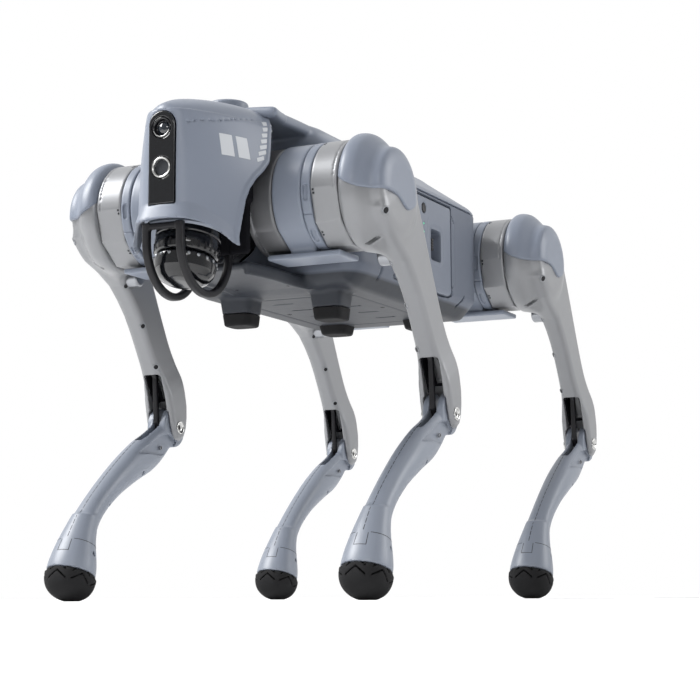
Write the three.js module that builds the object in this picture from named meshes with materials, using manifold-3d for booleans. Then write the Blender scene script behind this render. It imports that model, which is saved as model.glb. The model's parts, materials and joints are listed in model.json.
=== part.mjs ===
// A four-legged walking robot, standing. Millimetres, +X forward, +Y to its left, +Z up.
// The origin is on the ground below the middle of the trunk.
import * as THREE from "three";
import { mergeVertices } from "three/addons/utils/BufferGeometryUtils.js";
import Module from "manifold-3d";

const wasm = await Module();
wasm.setup();

// Driving dimensions of the stance and the legs.
const HIP_X = 193.4;
const HIP_Y = 46.5;
const LEG_LINK = 213;
const FOOT_R = 21.7;
const THIGH_PITCH = 32.35;
const KNEE_PITCH = -80.7;
const CRANK_PITCH = 21.35;
const CRANK_R = 13;
const FIT = 0.3;
const degrees = THREE.MathUtils.degToRad;
const CALF_PITCH = THIGH_PITCH + KNEE_PITCH;
const HIP_Z = LEG_LINK * (Math.cos(degrees(THIGH_PITCH)) + Math.cos(degrees(CALF_PITCH))) + FOOT_R;

// Outward stack of one leg, measured from its abduction axis.
const BARREL_IN = -17.5;
const CASING_OUT = 37.5;
const RING_OUT = 46.5;
const DRUM_OUT = 71.5;
const LEG_MID = 95.5;
const ARM_OUT = LEG_MID + 12;
const BARREL_R = 47;
const RING_R = 48;
const DRUM_R = 48;
const CHEEK = 15.4;
const ARM_HALF = 10;
const ROD_BEND = 20;
const CALF_HALF = 10;
const BOOT_TOP = 14;
const BOOT_PITCH = -20 - CALF_PITCH;

// Trunk.
const POD_HALF = 94.8;
const POD_END = 141;
const POD_MID_Z = 8;
const WALL = 2.5;
const SPLIT_Z = 42;
const BULKHEAD_X = 92;
const BULKHEAD = 5;
const BATTERY = { x: 66, back: -56, bottom: -50, top: 38 };
const ROOF_HALF = 42;
const HEAD_BACK = 230;
const VISOR = { half: 12, bottom: -21, top: 45, back: 317, face: 327.3 };
const EYE_R = 9;
const CAMERA_Z = 43;
const LAMP_Z = 9.5;
const LIDAR = { x: 283, z: -47, tilt: 13 };
const HOOP = { x: 282, y: 16, z: -50, along: 39, drop: 39, bar: 8 };

// ---- Geometry helpers: three.js geometry in, solids out ----

function solid(geometry) {
  const bare = geometry.clone();
  bare.deleteAttribute("normal");
  bare.deleteAttribute("uv");
  const merged = mergeVertices(bare, 1e-4);
  return new wasm.Manifold(new wasm.Mesh({
    numProp: 3,
    vertProperties: merged.attributes.position.array,
    triVerts: new Uint32Array(merged.index.array),
  }));
}

function join(...solids) {
  return solids.reduce((all, one) => all.add(one));
}

function cut(body, ...tools) {
  return tools.reduce((left, tool) => left.subtract(tool), body);
}

function block([x0, x1], [y0, y1], [z0, z1]) {
  const box = new THREE.BoxGeometry(x1 - x0, y1 - y0, z1 - z0);
  return solid(box.translate((x0 + x1) / 2, (y0 + y1) / 2, (z0 + z1) / 2));
}

function drum(axis, from, to, radius, centre = [0, 0], sides = 20) {
  const cylinder = new THREE.CylinderGeometry(radius, radius, to - from, sides);
  cylinder.translate(0, (from + to) / 2, 0);
  const [p, q] = centre;
  if (axis === "x") cylinder.rotateZ(-Math.PI / 2).translate(0, p, q);
  if (axis === "y") cylinder.translate(p, 0, q);
  if (axis === "z") cylinder.rotateX(Math.PI / 2).translate(p, q, 0);
  return solid(cylinder);
}

// A profile of [radius, height] points turned about the Y axis.
function turned(profile, sides = 20) {
  return solid(new THREE.LatheGeometry(profile.map(([r, h]) => new THREE.Vector2(r, h)), sides));
}

// A closed outline in (x, z), extruded along Y.
function sideways(shape, y0, y1, curve = 6) {
  const slab = new THREE.ExtrudeGeometry(shape, { depth: y1 - y0, bevelEnabled: false, curveSegments: curve });
  return solid(slab.rotateX(Math.PI / 2).translate(0, y1, 0));
}

// A closed outline in (y, z), extruded along X.
function forwards(shape, x0, x1, curve = 6) {
  const slab = new THREE.ExtrudeGeometry(shape, { depth: x1 - x0, bevelEnabled: false, curveSegments: curve });
  const turn = new THREE.Matrix4().makeBasis(
    new THREE.Vector3(0, 1, 0), new THREE.Vector3(0, 0, 1), new THREE.Vector3(1, 0, 0));
  return solid(slab.applyMatrix4(turn).translate(x0, 0, 0));
}

// Superellipse sections strung along X or Z: each has a place, two half sizes and two offsets.
function loft(axis, sections, sides = 16) {
  const tube = new THREE.CylinderGeometry(1, 1, 1, sides, sections.length - 1);
  const place = tube.attributes.position;
  for (let i = 0; i < place.count; i += 1) {
    const section = sections[Math.round((place.getY(i) + 0.5) * (sections.length - 1))];
    const { at, a, b, u = 0, v = 0, power = 2 } = section;
    const angle = Math.atan2(place.getX(i), place.getZ(i));
    const reach = Math.hypot(place.getX(i), place.getZ(i));
    const round = (value) => Math.sign(value) * Math.abs(value) ** (2 / power) * reach;
    const p = u + a * round(Math.cos(angle));
    const q = v + b * round(Math.sin(angle));
    if (axis === "x") place.setXYZ(i, at, p, q);
    else place.setXYZ(i, p, q, at);
  }
  return solid(tube);
}

function outline(start, steps) {
  const shape = new THREE.Shape();
  shape.moveTo(...start);
  steps(shape);
  shape.closePath();
  return shape;
}

function slotOutline(halfWidth, bottom, top) {
  return outline([-halfWidth, bottom], (s) => {
    s.lineTo(halfWidth, bottom);
    s.lineTo(halfWidth, top);
    s.absarc(0, top, halfWidth, 0, Math.PI, false);
  });
}

function placed(body, { x = 0, y = 0, z = 0, pitch = 0 }) {
  return body.rotate([0, pitch, 0]).translate([x, y, z]);
}

const finishes = {
  shell: { color: 0x7d8798, roughness: 0.55, metalness: 0.05 },
  shellDark: { color: 0x4c5460, roughness: 0.6, metalness: 0.05 },
  silver: { color: 0xb9bcbf, roughness: 0.38, metalness: 0.75 },
  calf: { color: 0xa2acbd, roughness: 0.45, metalness: 0.1 },
  black: { color: 0x141518, roughness: 0.35, metalness: 0.1 },
  gloss: { color: 0x0b0c0f, roughness: 0.08, metalness: 0.0 },
  rubber: { color: 0x121316, roughness: 0.85, metalness: 0.0 },
  glass: { color: 0x202a33, roughness: 0.03, metalness: 0.1 },
  chrome: { color: 0xd9d6c8, roughness: 0.12, metalness: 1.0 },
  steel: { color: 0x8f9396, roughness: 0.3, metalness: 1.0 },
  motor: { color: 0x5a5f66, roughness: 0.4, metalness: 0.8 },
  board: { color: 0x1d4a35, roughness: 0.6, metalness: 0.0 },
};

function piece(name, body, finish) {
  const { vertProperties, triVerts } = body.getMesh();
  const geometry = new THREE.BufferGeometry();
  geometry.setAttribute("position", new THREE.BufferAttribute(vertProperties, 3));
  geometry.setIndex(new THREE.BufferAttribute(triVerts, 1));
  geometry.computeVertexNormals();
  const mesh = new THREE.Mesh(geometry, new THREE.MeshStandardMaterial(finishes[finish]));
  mesh.name = name;
  return mesh;
}

// ---- One leg: hip frame, +Y outwards ----

// The barrel round the thigh motor, the bearing behind it that carries it on the trunk, and a
// cover plate below.
function hipHousing() {
  const barrel = drum("y", BARREL_IN, CASING_OUT, BARREL_R, [0, 0], 20);
  const beyond = block([-60, 60], [CASING_OUT, 80], [-50, 80]);
  const bearing = cut(drum("x", -BARREL_R, 0, 40, [0, 0], 20), beyond);
  const coverPlate = block([-18, 18], [-10, 62], [-55.5, -50.5]);
  const bracket = block([-15, 15], [12, 35], [-52, -40]);
  const pocket = drum("y", 4, CASING_OUT + 1, 40, [0, 0], 20);
  return cut(join(barrel, bearing, coverPlate, bracket), pocket);
}

function thighMotor() {
  const inner = 4 + FIT;
  const seam = CASING_OUT + FIT;
  return turned([
    [0, inner], [39.6, inner], [39.6, seam], [RING_R, seam], [RING_R, RING_OUT], [0, RING_OUT],
  ], 20);
}

// Round above, faceted below.
function calfMotor() {
  const shape = outline([DRUM_R, 0], (s) => {
    s.absarc(0, 0, DRUM_R, 0, Math.PI, false);
    for (const corner of [216, 252, 288, 324]) {
      s.lineTo(DRUM_R * Math.cos(degrees(corner)), DRUM_R * Math.sin(degrees(corner)));
    }
  });
  return sideways(shape, RING_OUT + FIT, DRUM_OUT, 12);
}

// The thigh's root and the cap over it follow one turned outline: wide at the drum, then necked.
function rootProfile(grow, end) {
  const start = DRUM_OUT + FIT;
  return [
    [0, start], [48.5 + grow, start], [48.5 + grow, 84], [44 + grow, 90], [38 + grow, 96],
    [35 + grow, 102], [33 + grow, end], [0, end],
  ];
}

// The limb leaves the root along its rear side and comes forward again at the knee.
function armOutline() {
  return outline([-28, -24], (s) => {
    s.quadraticCurveTo(-36, -46, -38.5, -90);
    s.lineTo(-35, -140);
    s.lineTo(-33, -176);
    s.lineTo(-25, -203);
    s.lineTo(-12, -221);
    s.lineTo(-4, -226);
    s.lineTo(4, -226);
    s.lineTo(10.5, -213);
    s.lineTo(4, -190);
    s.lineTo(-1, -165);
    s.lineTo(0.5, -112);
    s.quadraticCurveTo(8, -60, 30, -20);
  });
}

function cheekOutline() {
  return outline([-32.5, -178], (s) => {
    s.lineTo(-25, -203);
    s.lineTo(-12, -221);
    s.lineTo(-4, -226);
    s.lineTo(4, -226);
    s.lineTo(10.5, -213);
    s.lineTo(4, -190);
    s.lineTo(-0.5, -170);
    s.quadraticCurveTo(-3, -152, -16, -150);
    s.quadraticCurveTo(-31, -152, -32.5, -178);
  });
}

// The room that the bent knee rod sweeps through inside the limb.
function rodChannel() {
  const side = outline([-0.5, 0], (s) => {
    s.lineTo(-0.5, -12);
    s.lineTo(-ROD_BEND - 0.5, -66);
    s.lineTo(-ROD_BEND - 0.5, -190);
    s.lineTo(-1, -190);
    s.lineTo(-1.4, -162);
    s.lineTo(-3.6, -136);
    s.lineTo(-3.6, -66);
    s.lineTo(17, -8);
    s.lineTo(17, 0);
  });
  return sideways(side, LEG_MID - 3.2, LEG_MID + 3.2);
}

function thighArm() {
  const mid = LEG_MID;
  const root = turned(rootProfile(0, ARM_OUT), 20);
  const arm = sideways(armOutline(), mid - ARM_HALF, mid + ARM_HALF, 5);
  const cheeks = sideways(cheekOutline(), mid - CHEEK, mid + CHEEK, 4);
  const hubBore = drum("y", DRUM_OUT, mid - 8, 9, [0, 0], 12);
  const crankRoom = drum("y", mid - 9.3, mid + 3.2, CRANK_R + 7.6, [0, 0], 16);
  const gap = [mid - CALF_HALF - 0.7, mid + CALF_HALF + 0.7];
  const frontPocket = block([-17, 30], gap, [-200, -158]);
  const kneeGap = join(
    block([-40, 30], gap, [-240, -LEG_LINK + 5]),
    drum("y", gap[0], gap[1], 20.5, [0, -LEG_LINK], 16));
  const axleBore = drum("y", mid - 20, mid + 20, 5, [0, -LEG_LINK], 12);
  return cut(join(root, arm, cheeks), hubBore, crankRoom, rodChannel(), frontPocket, kneeGap, axleBore);
}

// A shell over the upper half of the thigh's root, with a tongue down its outer face.
function shoulderCap() {
  const above = outline([60, 60], (s) => {
    for (const corner of [[60, 4], [44, 4], [12, -6], [-12, -13], [-26, -6], [-36, 8], [-60, 8], [-60, 60]]) {
      s.lineTo(...corner);
    }
  });
  const shell = turned(rootProfile(3.5, ARM_OUT + 3.6), 20).intersect(sideways(above, 60, 130));
  const root = placed(turned(rootProfile(FIT, ARM_OUT + FIT), 20), { pitch: THIGH_PITCH });
  return cut(shell, root);
}

function kneeCrank() {
  const inner = LEG_MID - 9;
  const hub = drum("y", DRUM_OUT + FIT + 0.1, LEG_MID - 3, 8, [0, 0], 12);
  const web = block([0, CRANK_R], [inner, LEG_MID - 3], [-5, 5]);
  const eye = drum("y", inner, LEG_MID - 3, 6, [CRANK_R, 0], 10);
  const pin = drum("y", inner, LEG_MID + 2.5, 3, [CRANK_R, 0], 10);
  return join(hub, web, eye, pin);
}

// From the crank pin at its top to the calf pin at its bottom, bent back to stay inside the limb.
function kneeRod() {
  const half = 2.5;
  const side = outline([-2.6, 0], (s) => {
    s.lineTo(-ROD_BEND - 2.6, -55.4);
    s.lineTo(-ROD_BEND - 2.6, -158);
    s.lineTo(-2.4, -195);
    s.lineTo(-2.4, -LEG_LINK);
    s.lineTo(2.4, -LEG_LINK);
    s.lineTo(2.4, -194);
    s.lineTo(-ROD_BEND + 2.6, -157);
    s.lineTo(-ROD_BEND + 2.6, -54.6);
    s.lineTo(2.6, 0);
  });
  const bar = sideways(side, -half, half);
  const top = drum("y", -half, half, 6, [0, 0], 10);
  const bottom = drum("y", -half, half, 5.5, [0, -LEG_LINK], 10);
  const pinBore = drum("y", -half - 1, half + 1, 3.4, [0, 0], 10);
  const openPivot = drum("y", -half - 1, half + 1, 3.9, [0, -LEG_LINK], 10);
  return cut(join(bar, top, bottom), pinBore, openPivot);
}

function kneeAxle() {
  const head = CHEEK + FIT;
  return join(
    drum("y", -head - 1.5, head + 1.5, 4.5, [0, 0], 12),
    drum("y", -head - 1.5, -head, 6.6, [0, 0], 12),
    drum("y", head, head + 1.5, 6.6, [0, 0], 12));
}

// The shin bows forward below the knee and swells again at the ankle.
function calf() {
  const sections = [
    [206, 7.5, 19, 20], [193, 13.5, 16, 17], [176, 19, 12.2, 13.2], [150, 22.7, 10.5, 11],
    [118, 21, 11.5, 11.2], [84, 15, 14.5, 12.2], [54, 7.5, 17.5, 11.5], [32, 2.5, 16.5, 10],
    [8, 0, 13.5, 9.9],
  ].map(([down, bow, a, b]) => ({ at: -down, a, b, u: bow, power: 2.6 }));
  const knuckle = drum("y", -CALF_HALF, CALF_HALF, 14.5, [0, 0], 16);
  const pin = drum("y", -6, 6, 3, pinPlace(), 10);
  const slot = sideways(outline([-24, -22], (s) => {
    s.lineTo(-24, 20);
    s.lineTo(40, 20);
    s.lineTo(40, -66);
    s.lineTo(2, -30);
    s.lineTo(-8, -22);
  }), -3.2, 3.2);
  const axleBore = drum("y", -20, 20, 5, [0, 0], 12);
  const bootRoom = placed(block([-40, 40], [-40, 40], [-60, BOOT_TOP + FIT]), footPlace());
  return cut(join(cut(join(loft("z", sections, 12), knuckle), slot), pin), axleBore, bootRoom);
}

// The calf pin, in the calf's frame: parallel to the crank when seen from the thigh.
function pinPlace() {
  const turn = degrees(CRANK_PITCH - KNEE_PITCH);
  return [CRANK_R * Math.cos(turn), -CRANK_R * Math.sin(turn)];
}

function footPlace() {
  return { z: -LEG_LINK, pitch: BOOT_PITCH };
}

function foot() {
  const ball = solid(new THREE.SphereGeometry(FOOT_R, 12, 8).scale(1, 1.07, 1));
  const collar = loft("z", [
    { at: 0, a: FOOT_R, b: FOOT_R * 1.07 }, { at: BOOT_TOP, a: 20.5, b: 21.5 },
  ], 12);
  const above = block([-40, 40], [-40, 40], [BOOT_TOP, 60]);
  return placed(cut(join(ball, collar), above), footPlace());
}

function leg(name, front, left) {
  const hip = new THREE.Group();
  hip.position.set(front * HIP_X, left * HIP_Y, HIP_Z);
  hip.scale.set(1, left, 1);

  const casing = new THREE.Group();
  casing.scale.set(front, 1, 1);
  casing.add(piece(`${name}_hip_housing`, hipHousing(), "shell"));
  casing.add(piece(`${name}_abduction_motor`, abductionMotor(), "motor"));
  hip.add(casing);
  hip.add(piece(`${name}_thigh_motor`, thighMotor(), "shell"));

  const thigh = new THREE.Group();
  thigh.rotation.y = degrees(THIGH_PITCH);
  thigh.add(piece(`${name}_calf_motor`, placed(calfMotor(), { pitch: -THIGH_PITCH }), "silver"));
  thigh.add(piece(`${name}_thigh_arm`, thighArm(), "silver"));
  thigh.add(piece(`${name}_shoulder_cap`, placed(shoulderCap(), { pitch: -THIGH_PITCH }), "shell"));
  hip.add(thigh);

  const crank = piece(`${name}_knee_crank`, kneeCrank(), "steel");
  crank.rotation.y = degrees(CRANK_PITCH);
  thigh.add(crank);
  const rod = piece(`${name}_knee_rod`, kneeRod(), "black");
  rod.position.set(
    CRANK_R * Math.cos(degrees(CRANK_PITCH)), LEG_MID, -CRANK_R * Math.sin(degrees(CRANK_PITCH)));
  thigh.add(rod);

  const knee = new THREE.Group();
  knee.position.set(0, LEG_MID, -LEG_LINK);
  thigh.add(knee);
  knee.add(piece(`${name}_knee_axle`, kneeAxle(), "chrome"));
  const shin = new THREE.Group();
  shin.rotation.y = degrees(KNEE_PITCH);
  shin.add(piece(`${name}_calf`, calf(), "calf"));
  shin.add(piece(`${name}_foot`, foot(), "rubber"));
  knee.add(shin);
  return hip;
}

// Sits in the trunk behind its hip and carries it on its output flange.
function abductionMotor() {
  const back = BULKHEAD_X + BULKHEAD + FIT - HIP_X;
  return solid(new THREE.LatheGeometry([
    [0, back], [38, back], [41, back + 3], [41, -53], [24, -50], [24, -BARREL_R - FIT], [0, -BARREL_R - FIT],
  ].map(([r, h]) => new THREE.Vector2(r, h)), 14).rotateZ(-Math.PI / 2));
}

// ---- Trunk ----

function pod(shrink) {
  const section = (x, a, b) => ({ at: x, a: a - shrink, b: b - shrink, v: POD_MID_Z, power: 5 });
  const end = POD_END - shrink;
  const chamfers = outline([-POD_HALF - 2, -90], (s) => {
    s.lineTo(-POD_HALF - 2, 42 - shrink);
    s.lineTo(-88, 46 - shrink);
    s.lineTo(-36, 84 - shrink);
    s.lineTo(36, 84 - shrink);
    s.lineTo(88, 46 - shrink);
    s.lineTo(POD_HALF + 2, 42 - shrink);
    s.lineTo(POD_HALF + 2, -90);
  });
  return loft("x", [
    section(-end, 89, 66), section(-124, 93, 71), section(-80, POD_HALF, 74),
    section(90, POD_HALF, 74), section(128, 92, 72), section(end, 89, 66),
  ], 16).intersect(forwards(chamfers, -160, 160));
}

function roofSolid(shrink) {
  const half = ROOF_HALF - shrink;
  const tail = { power: 5, a: half - 6 };
  return loft("x", [
    { at: -262 + shrink, b: 10 - shrink, v: 56, ...tail, a: 30 - shrink },
    { at: -250 + shrink, b: 12 - shrink / 2, v: 60, ...tail },
    { at: -200, a: half - 2, b: 6 - shrink / 2, v: 71.5, power: 5 },
    { at: -140, a: half, b: 6 - shrink / 2, v: 74.5, power: 5 },
    { at: 0, a: half, b: 6, v: 77, power: 5 },
    { at: 140, a: half, b: 6 - shrink / 2, v: 77.7, power: 5 },
    { at: 226, a: half, b: 6 - shrink / 2, v: 77.3, power: 5 },
  ], 16);
}

function batteryOpening(grow) {
  const { x, back, bottom, top } = BATTERY;
  return block([-x - grow, x + grow], [back - grow, 140], [bottom - grow, top + grow]);
}

function deckPad() {
  return block([-70, 60], [-36, 36], [72, 84.5]);
}

function motorPorts() {
  return [-HIP_Y, HIP_Y].map((y) => drum("x", -160, 160, 43.5, [y, 0], 12));
}

function trunkSkin(low, high) {
  const keep = block([-300, 300], [-150, 150], [low, high]);
  return cut(pod(0).intersect(keep), pod(WALL), ...motorPorts(), batteryOpening(1.2));
}

function topShell() {
  const tailPanel = loft("z", [
    { at: -34, a: 3.5, b: 28, u: -256, power: 4 }, { at: -20, a: 5, b: 34, u: -257, power: 4 },
    { at: 58, a: 5, b: 36, u: -255, power: 4 },
  ], 12);
  const spine = cut(roofSolid(0), block([-POD_END + 8, POD_END - 8], [-60, 60], [0, 76]));
  return join(trunkSkin(SPLIT_Z + FIT, 200), spine, deckPad(), tailPanel);
}

function padPost(x, z) {
  const post = loft("z", [
    { at: z, a: 11, b: 11, u: x, v: 46, power: 3.4 }, { at: -52, a: 17.6, b: 17.6, u: x + 1.5, v: 46, power: 3.4 },
  ], 12);
  return join(post, post.mirror([0, 1, 0]));
}

function bellyShell() {
  const chest = loft("x", [
    { at: 120, a: 60, b: 3.5, v: -60.5, power: 5 }, { at: 142, a: 37, b: 3.5, v: -61.5, power: 5 },
    { at: 232, a: 34, b: 3, v: -61.5, power: 5 },
  ], 12);
  const skin = trunkSkin(-200, SPLIT_Z);
  return join(skin, chest, padPost(104, -92), padPost(-100, -75));
}

function headSolid(shrink) {
  const section = (z, along, across) => ({
    at: z, a: along - shrink, b: across - shrink, u: HEAD_BACK, power: 1.6,
  });
  return loft("z", [
    section(-66 - shrink, 104, 63), section(-10, 104, 61), section(20, 104, 58), section(48, 104, 52),
    section(60, 99, 48), section(69, 84, 42), section(76, 60, 33), section(80 - shrink, 30, 20),
  ], 28).intersect(block([0, VISOR.face + 0.2 - shrink], [-90, 90], [-90, 90]));
}

function hipArch() {
  return outline([100, 72], (s) => {
    s.lineTo(216, 72);
    s.lineTo(231, 52);
    s.lineTo(243, 24);
    s.quadraticCurveTo(252, 16, 262, 6);
    s.quadraticCurveTo(278, -14, 286, -56);
    s.lineTo(286, -100);
    s.lineTo(100, -100);
  });
}

function brimCut() {
  return outline([-80, -100], (s) => {
    for (const corner of [[-80, -66], [-54, -64], [-48, -55], [-43, -46], [-35, -39], [-20, -34.5]]) {
      s.lineTo(...corner);
    }
    for (const corner of [[20, -34.5], [35, -39], [43, -46], [48, -55], [54, -64], [80, -66], [80, -100]]) {
      s.lineTo(...corner);
    }
  });
}

function visorOutline(grow) {
  return slotOutline(VISOR.half + grow, VISOR.bottom - grow, VISOR.top);
}

function headShell() {
  const shell = cut(headSolid(0), headSolid(WALL));
  return cut(
    shell, sideways(hipArch(), -80, 80, 6), forwards(brimCut(), 200, 340, 8),
    forwards(visorOutline(FIT), 300, 340, 6), block([100, 228], [-80, 80], [-100, 120]));
}

function visorPanel() {
  const eyes = [CAMERA_Z, LAMP_Z].map((z) => drum("x", 300, 340, EYE_R + FIT, [0, z], 16));
  return cut(forwards(visorOutline(0), VISOR.back, VISOR.face, 6), ...eyes);
}

function cameraLens() {
  const profile = [[0, 318], [EYE_R, 318], [EYE_R, 326.5], [6.5, 326.5], [5, 324.5], [0, 325.5]];
  return turned(profile, 16).rotate([0, 0, -90]).translate([0, 0, CAMERA_Z]);
}

function headlight() {
  const profile = [[0, 318], [EYE_R, 318], [EYE_R, 327.5], [7.5, 327.5], [5.5, 322], [0, 321]];
  return turned(profile, 16).rotate([0, 0, -90]).translate([0, 0, LAMP_Z]);
}

// Turned parts of the ranging sensor point down its tilted axis.
function hung(profile) {
  return placed(turned(profile, 16).rotate([-90, 0, 0]), { x: LIDAR.x, z: LIDAR.z, pitch: -LIDAR.tilt });
}

function lidarBody() {
  return hung([[0, -15], [24, -15], [28, -12], [28, 12], [25, 14], [0, 14]]);
}

function lidarRotor() {
  return hung([
    [0, 14 + FIT], [24, 14 + FIT], [27, 16], [27, 20], [25, 28], [19, 33.5], [10, 36], [0, 36.5],
  ]);
}

function lidarGuard() {
  const { x, y, z, along, drop, bar } = HOOP;
  const ring = (grow, top) => outline([x - along - grow, top], (s) => {
    s.lineTo(x - along - grow, z);
    s.absellipse(x, z, along + grow, drop + grow, Math.PI, 2 * Math.PI, false, 0);
    s.lineTo(x + along + grow, top);
  });
  const hoop = (side) => cut(
    sideways(ring(bar / 2, -36), side * y - bar / 2, side * y + bar / 2, 8),
    sideways(ring(-bar / 2, -35), side * y - bar, side * y + bar, 8));
  const frontBar = block([x + along - bar / 2, x + along + bar / 2], [-y, y], [-42, -36]);
  const backBar = block([x - along - bar / 2, x - along + bar / 2], [-y, y], [-42, -36]);
  return join(hoop(1), hoop(-1), frontBar, backBar);
}

function chassisFrame() {
  const { back, bottom, top } = BATTERY;
  const wide = 78;
  const bulkhead = (x0) => block([x0, x0 + BULKHEAD], [-wide, wide], [-44, 49]);
  return join(
    bulkhead(BULKHEAD_X), bulkhead(-BULKHEAD_X - BULKHEAD),
    block([-BULKHEAD_X - 1, BULKHEAD_X + 1], [-60, 60], [top + 4, top + 8]),
    block([-BULKHEAD_X - 1, BULKHEAD_X + 1], [back - 8, back - 4], [bottom + 6, top + 8]));
}

function fingerRecess(side) {
  return block([side * 29 - 12.5, side * 29 + 12.5], [80.5, 120], [-20, 10]);
}

function batteryPack() {
  const { x, back, bottom, top } = BATTERY;
  const box = block([-x, x], [back, 120], [bottom, top]).intersect(pod(0.2));
  const latchWays = [-1, 1].map((side) => block([side * 15 - 11.5, side * 15 + 11.5], [84.5, 91.5], [-11, 2]));
  const buttonHole = drum("y", 86.5, 110, 5, [0, 27], 12);
  return cut(box, fingerRecess(-1), fingerRecess(1), ...latchWays, buttonHole);
}

// A sliding catch in the inner wall of each finger recess.
function batteryLatch(side) {
  const tongue = block([side * 18 - 8, side * 18 + 8], [84.9, 91.1], [-10.6, 1.6]);
  const grip = block([side * 23.7 - 2.3, side * 23.7 + 2.3], [84.9, 93.1], [-10.6, 1.6]);
  return join(tongue, grip);
}

function powerButton() {
  return drum("y", 89, 94.8, 4.6, [0, 27], 12);
}

function antennaDome() {
  const base = 84.3;
  const low = new THREE.LatheGeometry(
    [[0, base], [18.2, base], [18.2, base + 3.6], [16.4, base + 5.2], [0, base + 5.6]]
      .map(([r, h]) => new THREE.Vector2(r, h)), 24);
  return solid(low.rotateX(Math.PI / 2).translate(215, 0, 0));
}

function mainBoard() {
  return block([-60, 60], [-42, 42], [BATTERY.top + 12, BATTERY.top + 16]);
}

const group = new THREE.Group();
const trunk = new THREE.Group();
trunk.position.z = HIP_Z;
group.add(trunk);
trunk.add(
  piece("chassis_frame", chassisFrame(), "motor"),
  piece("top_shell", topShell(), "shell"),
  piece("belly_shell", bellyShell(), "shellDark"),
  piece("head_shell", headShell(), "shell"),
  piece("visor_panel", visorPanel(), "gloss"),
  piece("camera_lens", cameraLens(), "glass"),
  piece("headlight", headlight(), "chrome"),
  piece("lidar_body", lidarBody(), "black"),
  piece("lidar_rotor", lidarRotor(), "gloss"),
  piece("lidar_guard", lidarGuard(), "black"),
  piece("battery_pack", batteryPack(), "shellDark"),
  piece("battery_latch_front", batteryLatch(1), "black"),
  piece("battery_latch_rear", batteryLatch(-1), "black"),
  piece("power_button", powerButton(), "black"),
  piece("antenna_dome", antennaDome(), "shell"),
  piece("main_board", mainBoard(), "board"),
);
for (const [end, front] of [["front", 1], ["rear", -1]]) {
  for (const [flank, left] of [["left", 1], ["right", -1]]) {
    group.add(leg(`${end}_${flank}`, front, left));
  }
}

export default group;
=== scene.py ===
import json
from functools import lru_cache, reduce
from math import atan2, cos, degrees, hypot, pi, radians, sin

import bpy
import numpy as np
from mathutils import Matrix, Vector


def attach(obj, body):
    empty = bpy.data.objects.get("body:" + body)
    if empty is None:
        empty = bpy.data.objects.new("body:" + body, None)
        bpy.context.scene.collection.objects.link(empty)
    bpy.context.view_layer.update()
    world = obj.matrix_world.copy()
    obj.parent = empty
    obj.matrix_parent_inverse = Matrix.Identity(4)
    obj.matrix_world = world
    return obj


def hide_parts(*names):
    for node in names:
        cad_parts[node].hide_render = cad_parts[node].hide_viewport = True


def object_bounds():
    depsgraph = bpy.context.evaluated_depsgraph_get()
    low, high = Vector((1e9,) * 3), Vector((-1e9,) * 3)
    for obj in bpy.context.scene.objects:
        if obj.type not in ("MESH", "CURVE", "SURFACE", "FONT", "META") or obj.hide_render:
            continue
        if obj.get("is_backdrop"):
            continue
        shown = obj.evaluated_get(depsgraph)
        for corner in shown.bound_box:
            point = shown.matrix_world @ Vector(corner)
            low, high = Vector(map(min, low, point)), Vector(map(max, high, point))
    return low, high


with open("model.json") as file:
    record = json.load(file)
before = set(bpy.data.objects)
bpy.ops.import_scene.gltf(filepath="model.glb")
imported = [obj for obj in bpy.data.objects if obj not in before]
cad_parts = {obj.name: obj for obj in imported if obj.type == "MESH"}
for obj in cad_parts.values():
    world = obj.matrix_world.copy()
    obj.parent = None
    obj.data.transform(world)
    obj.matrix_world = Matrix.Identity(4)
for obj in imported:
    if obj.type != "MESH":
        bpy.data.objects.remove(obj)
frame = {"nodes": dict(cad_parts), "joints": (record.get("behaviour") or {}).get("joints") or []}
cad_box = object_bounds()

# ---- Places, from the frame. Local coordinates are millimetres ----

MM = 0.001
JOINTS = {joint["name"]: joint for joint in frame["joints"]}
HIP = [value / MM for value in JOINTS["front_left_abduction"]["pos_m"]]
KNEE = [value / MM for value in JOINTS["front_left_knee"]["pos_m"]]
PIN = [value / MM for value in JOINTS["front_left_rod_turn"]["pos_m"]]
HIP_X, HIP_Y, HIP_Z = HIP
LEG_MID = KNEE[1] - HIP_Y
LINK = hypot(HIP_X - KNEE[0], HIP_Z - KNEE[2])
THIGH_PITCH = degrees(atan2(HIP_X - KNEE[0], HIP_Z - KNEE[2]))
CALF_PITCH = THIGH_PITCH - 80.7
FOOT_R = 21.7
SILVER_OUT, CASING_OUT, RING_OUT, DRUM_OUT = 9.5, 37.5, 46.5, 71.5
ARM_OUT = LEG_MID + 12
LEGS = [(f"{end}_{flank}", front, left)
        for end, front in (("front", 1), ("rear", -1)) for flank, left in (("left", 1), ("right", -1))]


def moved(x=0.0, y=0.0, z=0.0):
    return Matrix.Translation((x, y, z))


def pitched(angle):
    return Matrix.Rotation(radians(angle), 4, "Y")


def scaled(x=1.0, y=1.0, z=1.0):
    return Matrix.Diagonal((x, y, z, 1.0))


TRUNK = moved(z=HIP_Z)


def hip_frame(front, left):
    return moved(front * HIP_X, left * HIP_Y, HIP_Z) @ scaled(y=left)


def casing_frame(front, left):
    return hip_frame(front, left) @ scaled(x=front)


def thigh_frame(front, left):
    return hip_frame(front, left) @ pitched(THIGH_PITCH)


def calf_frame(front, left):
    knee = moved(sin(radians(-THIGH_PITCH)) * LINK, LEG_MID, -cos(radians(THIGH_PITCH)) * LINK)
    return hip_frame(front, left) @ knee @ pitched(CALF_PITCH)


# ---- Meshes ----

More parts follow.
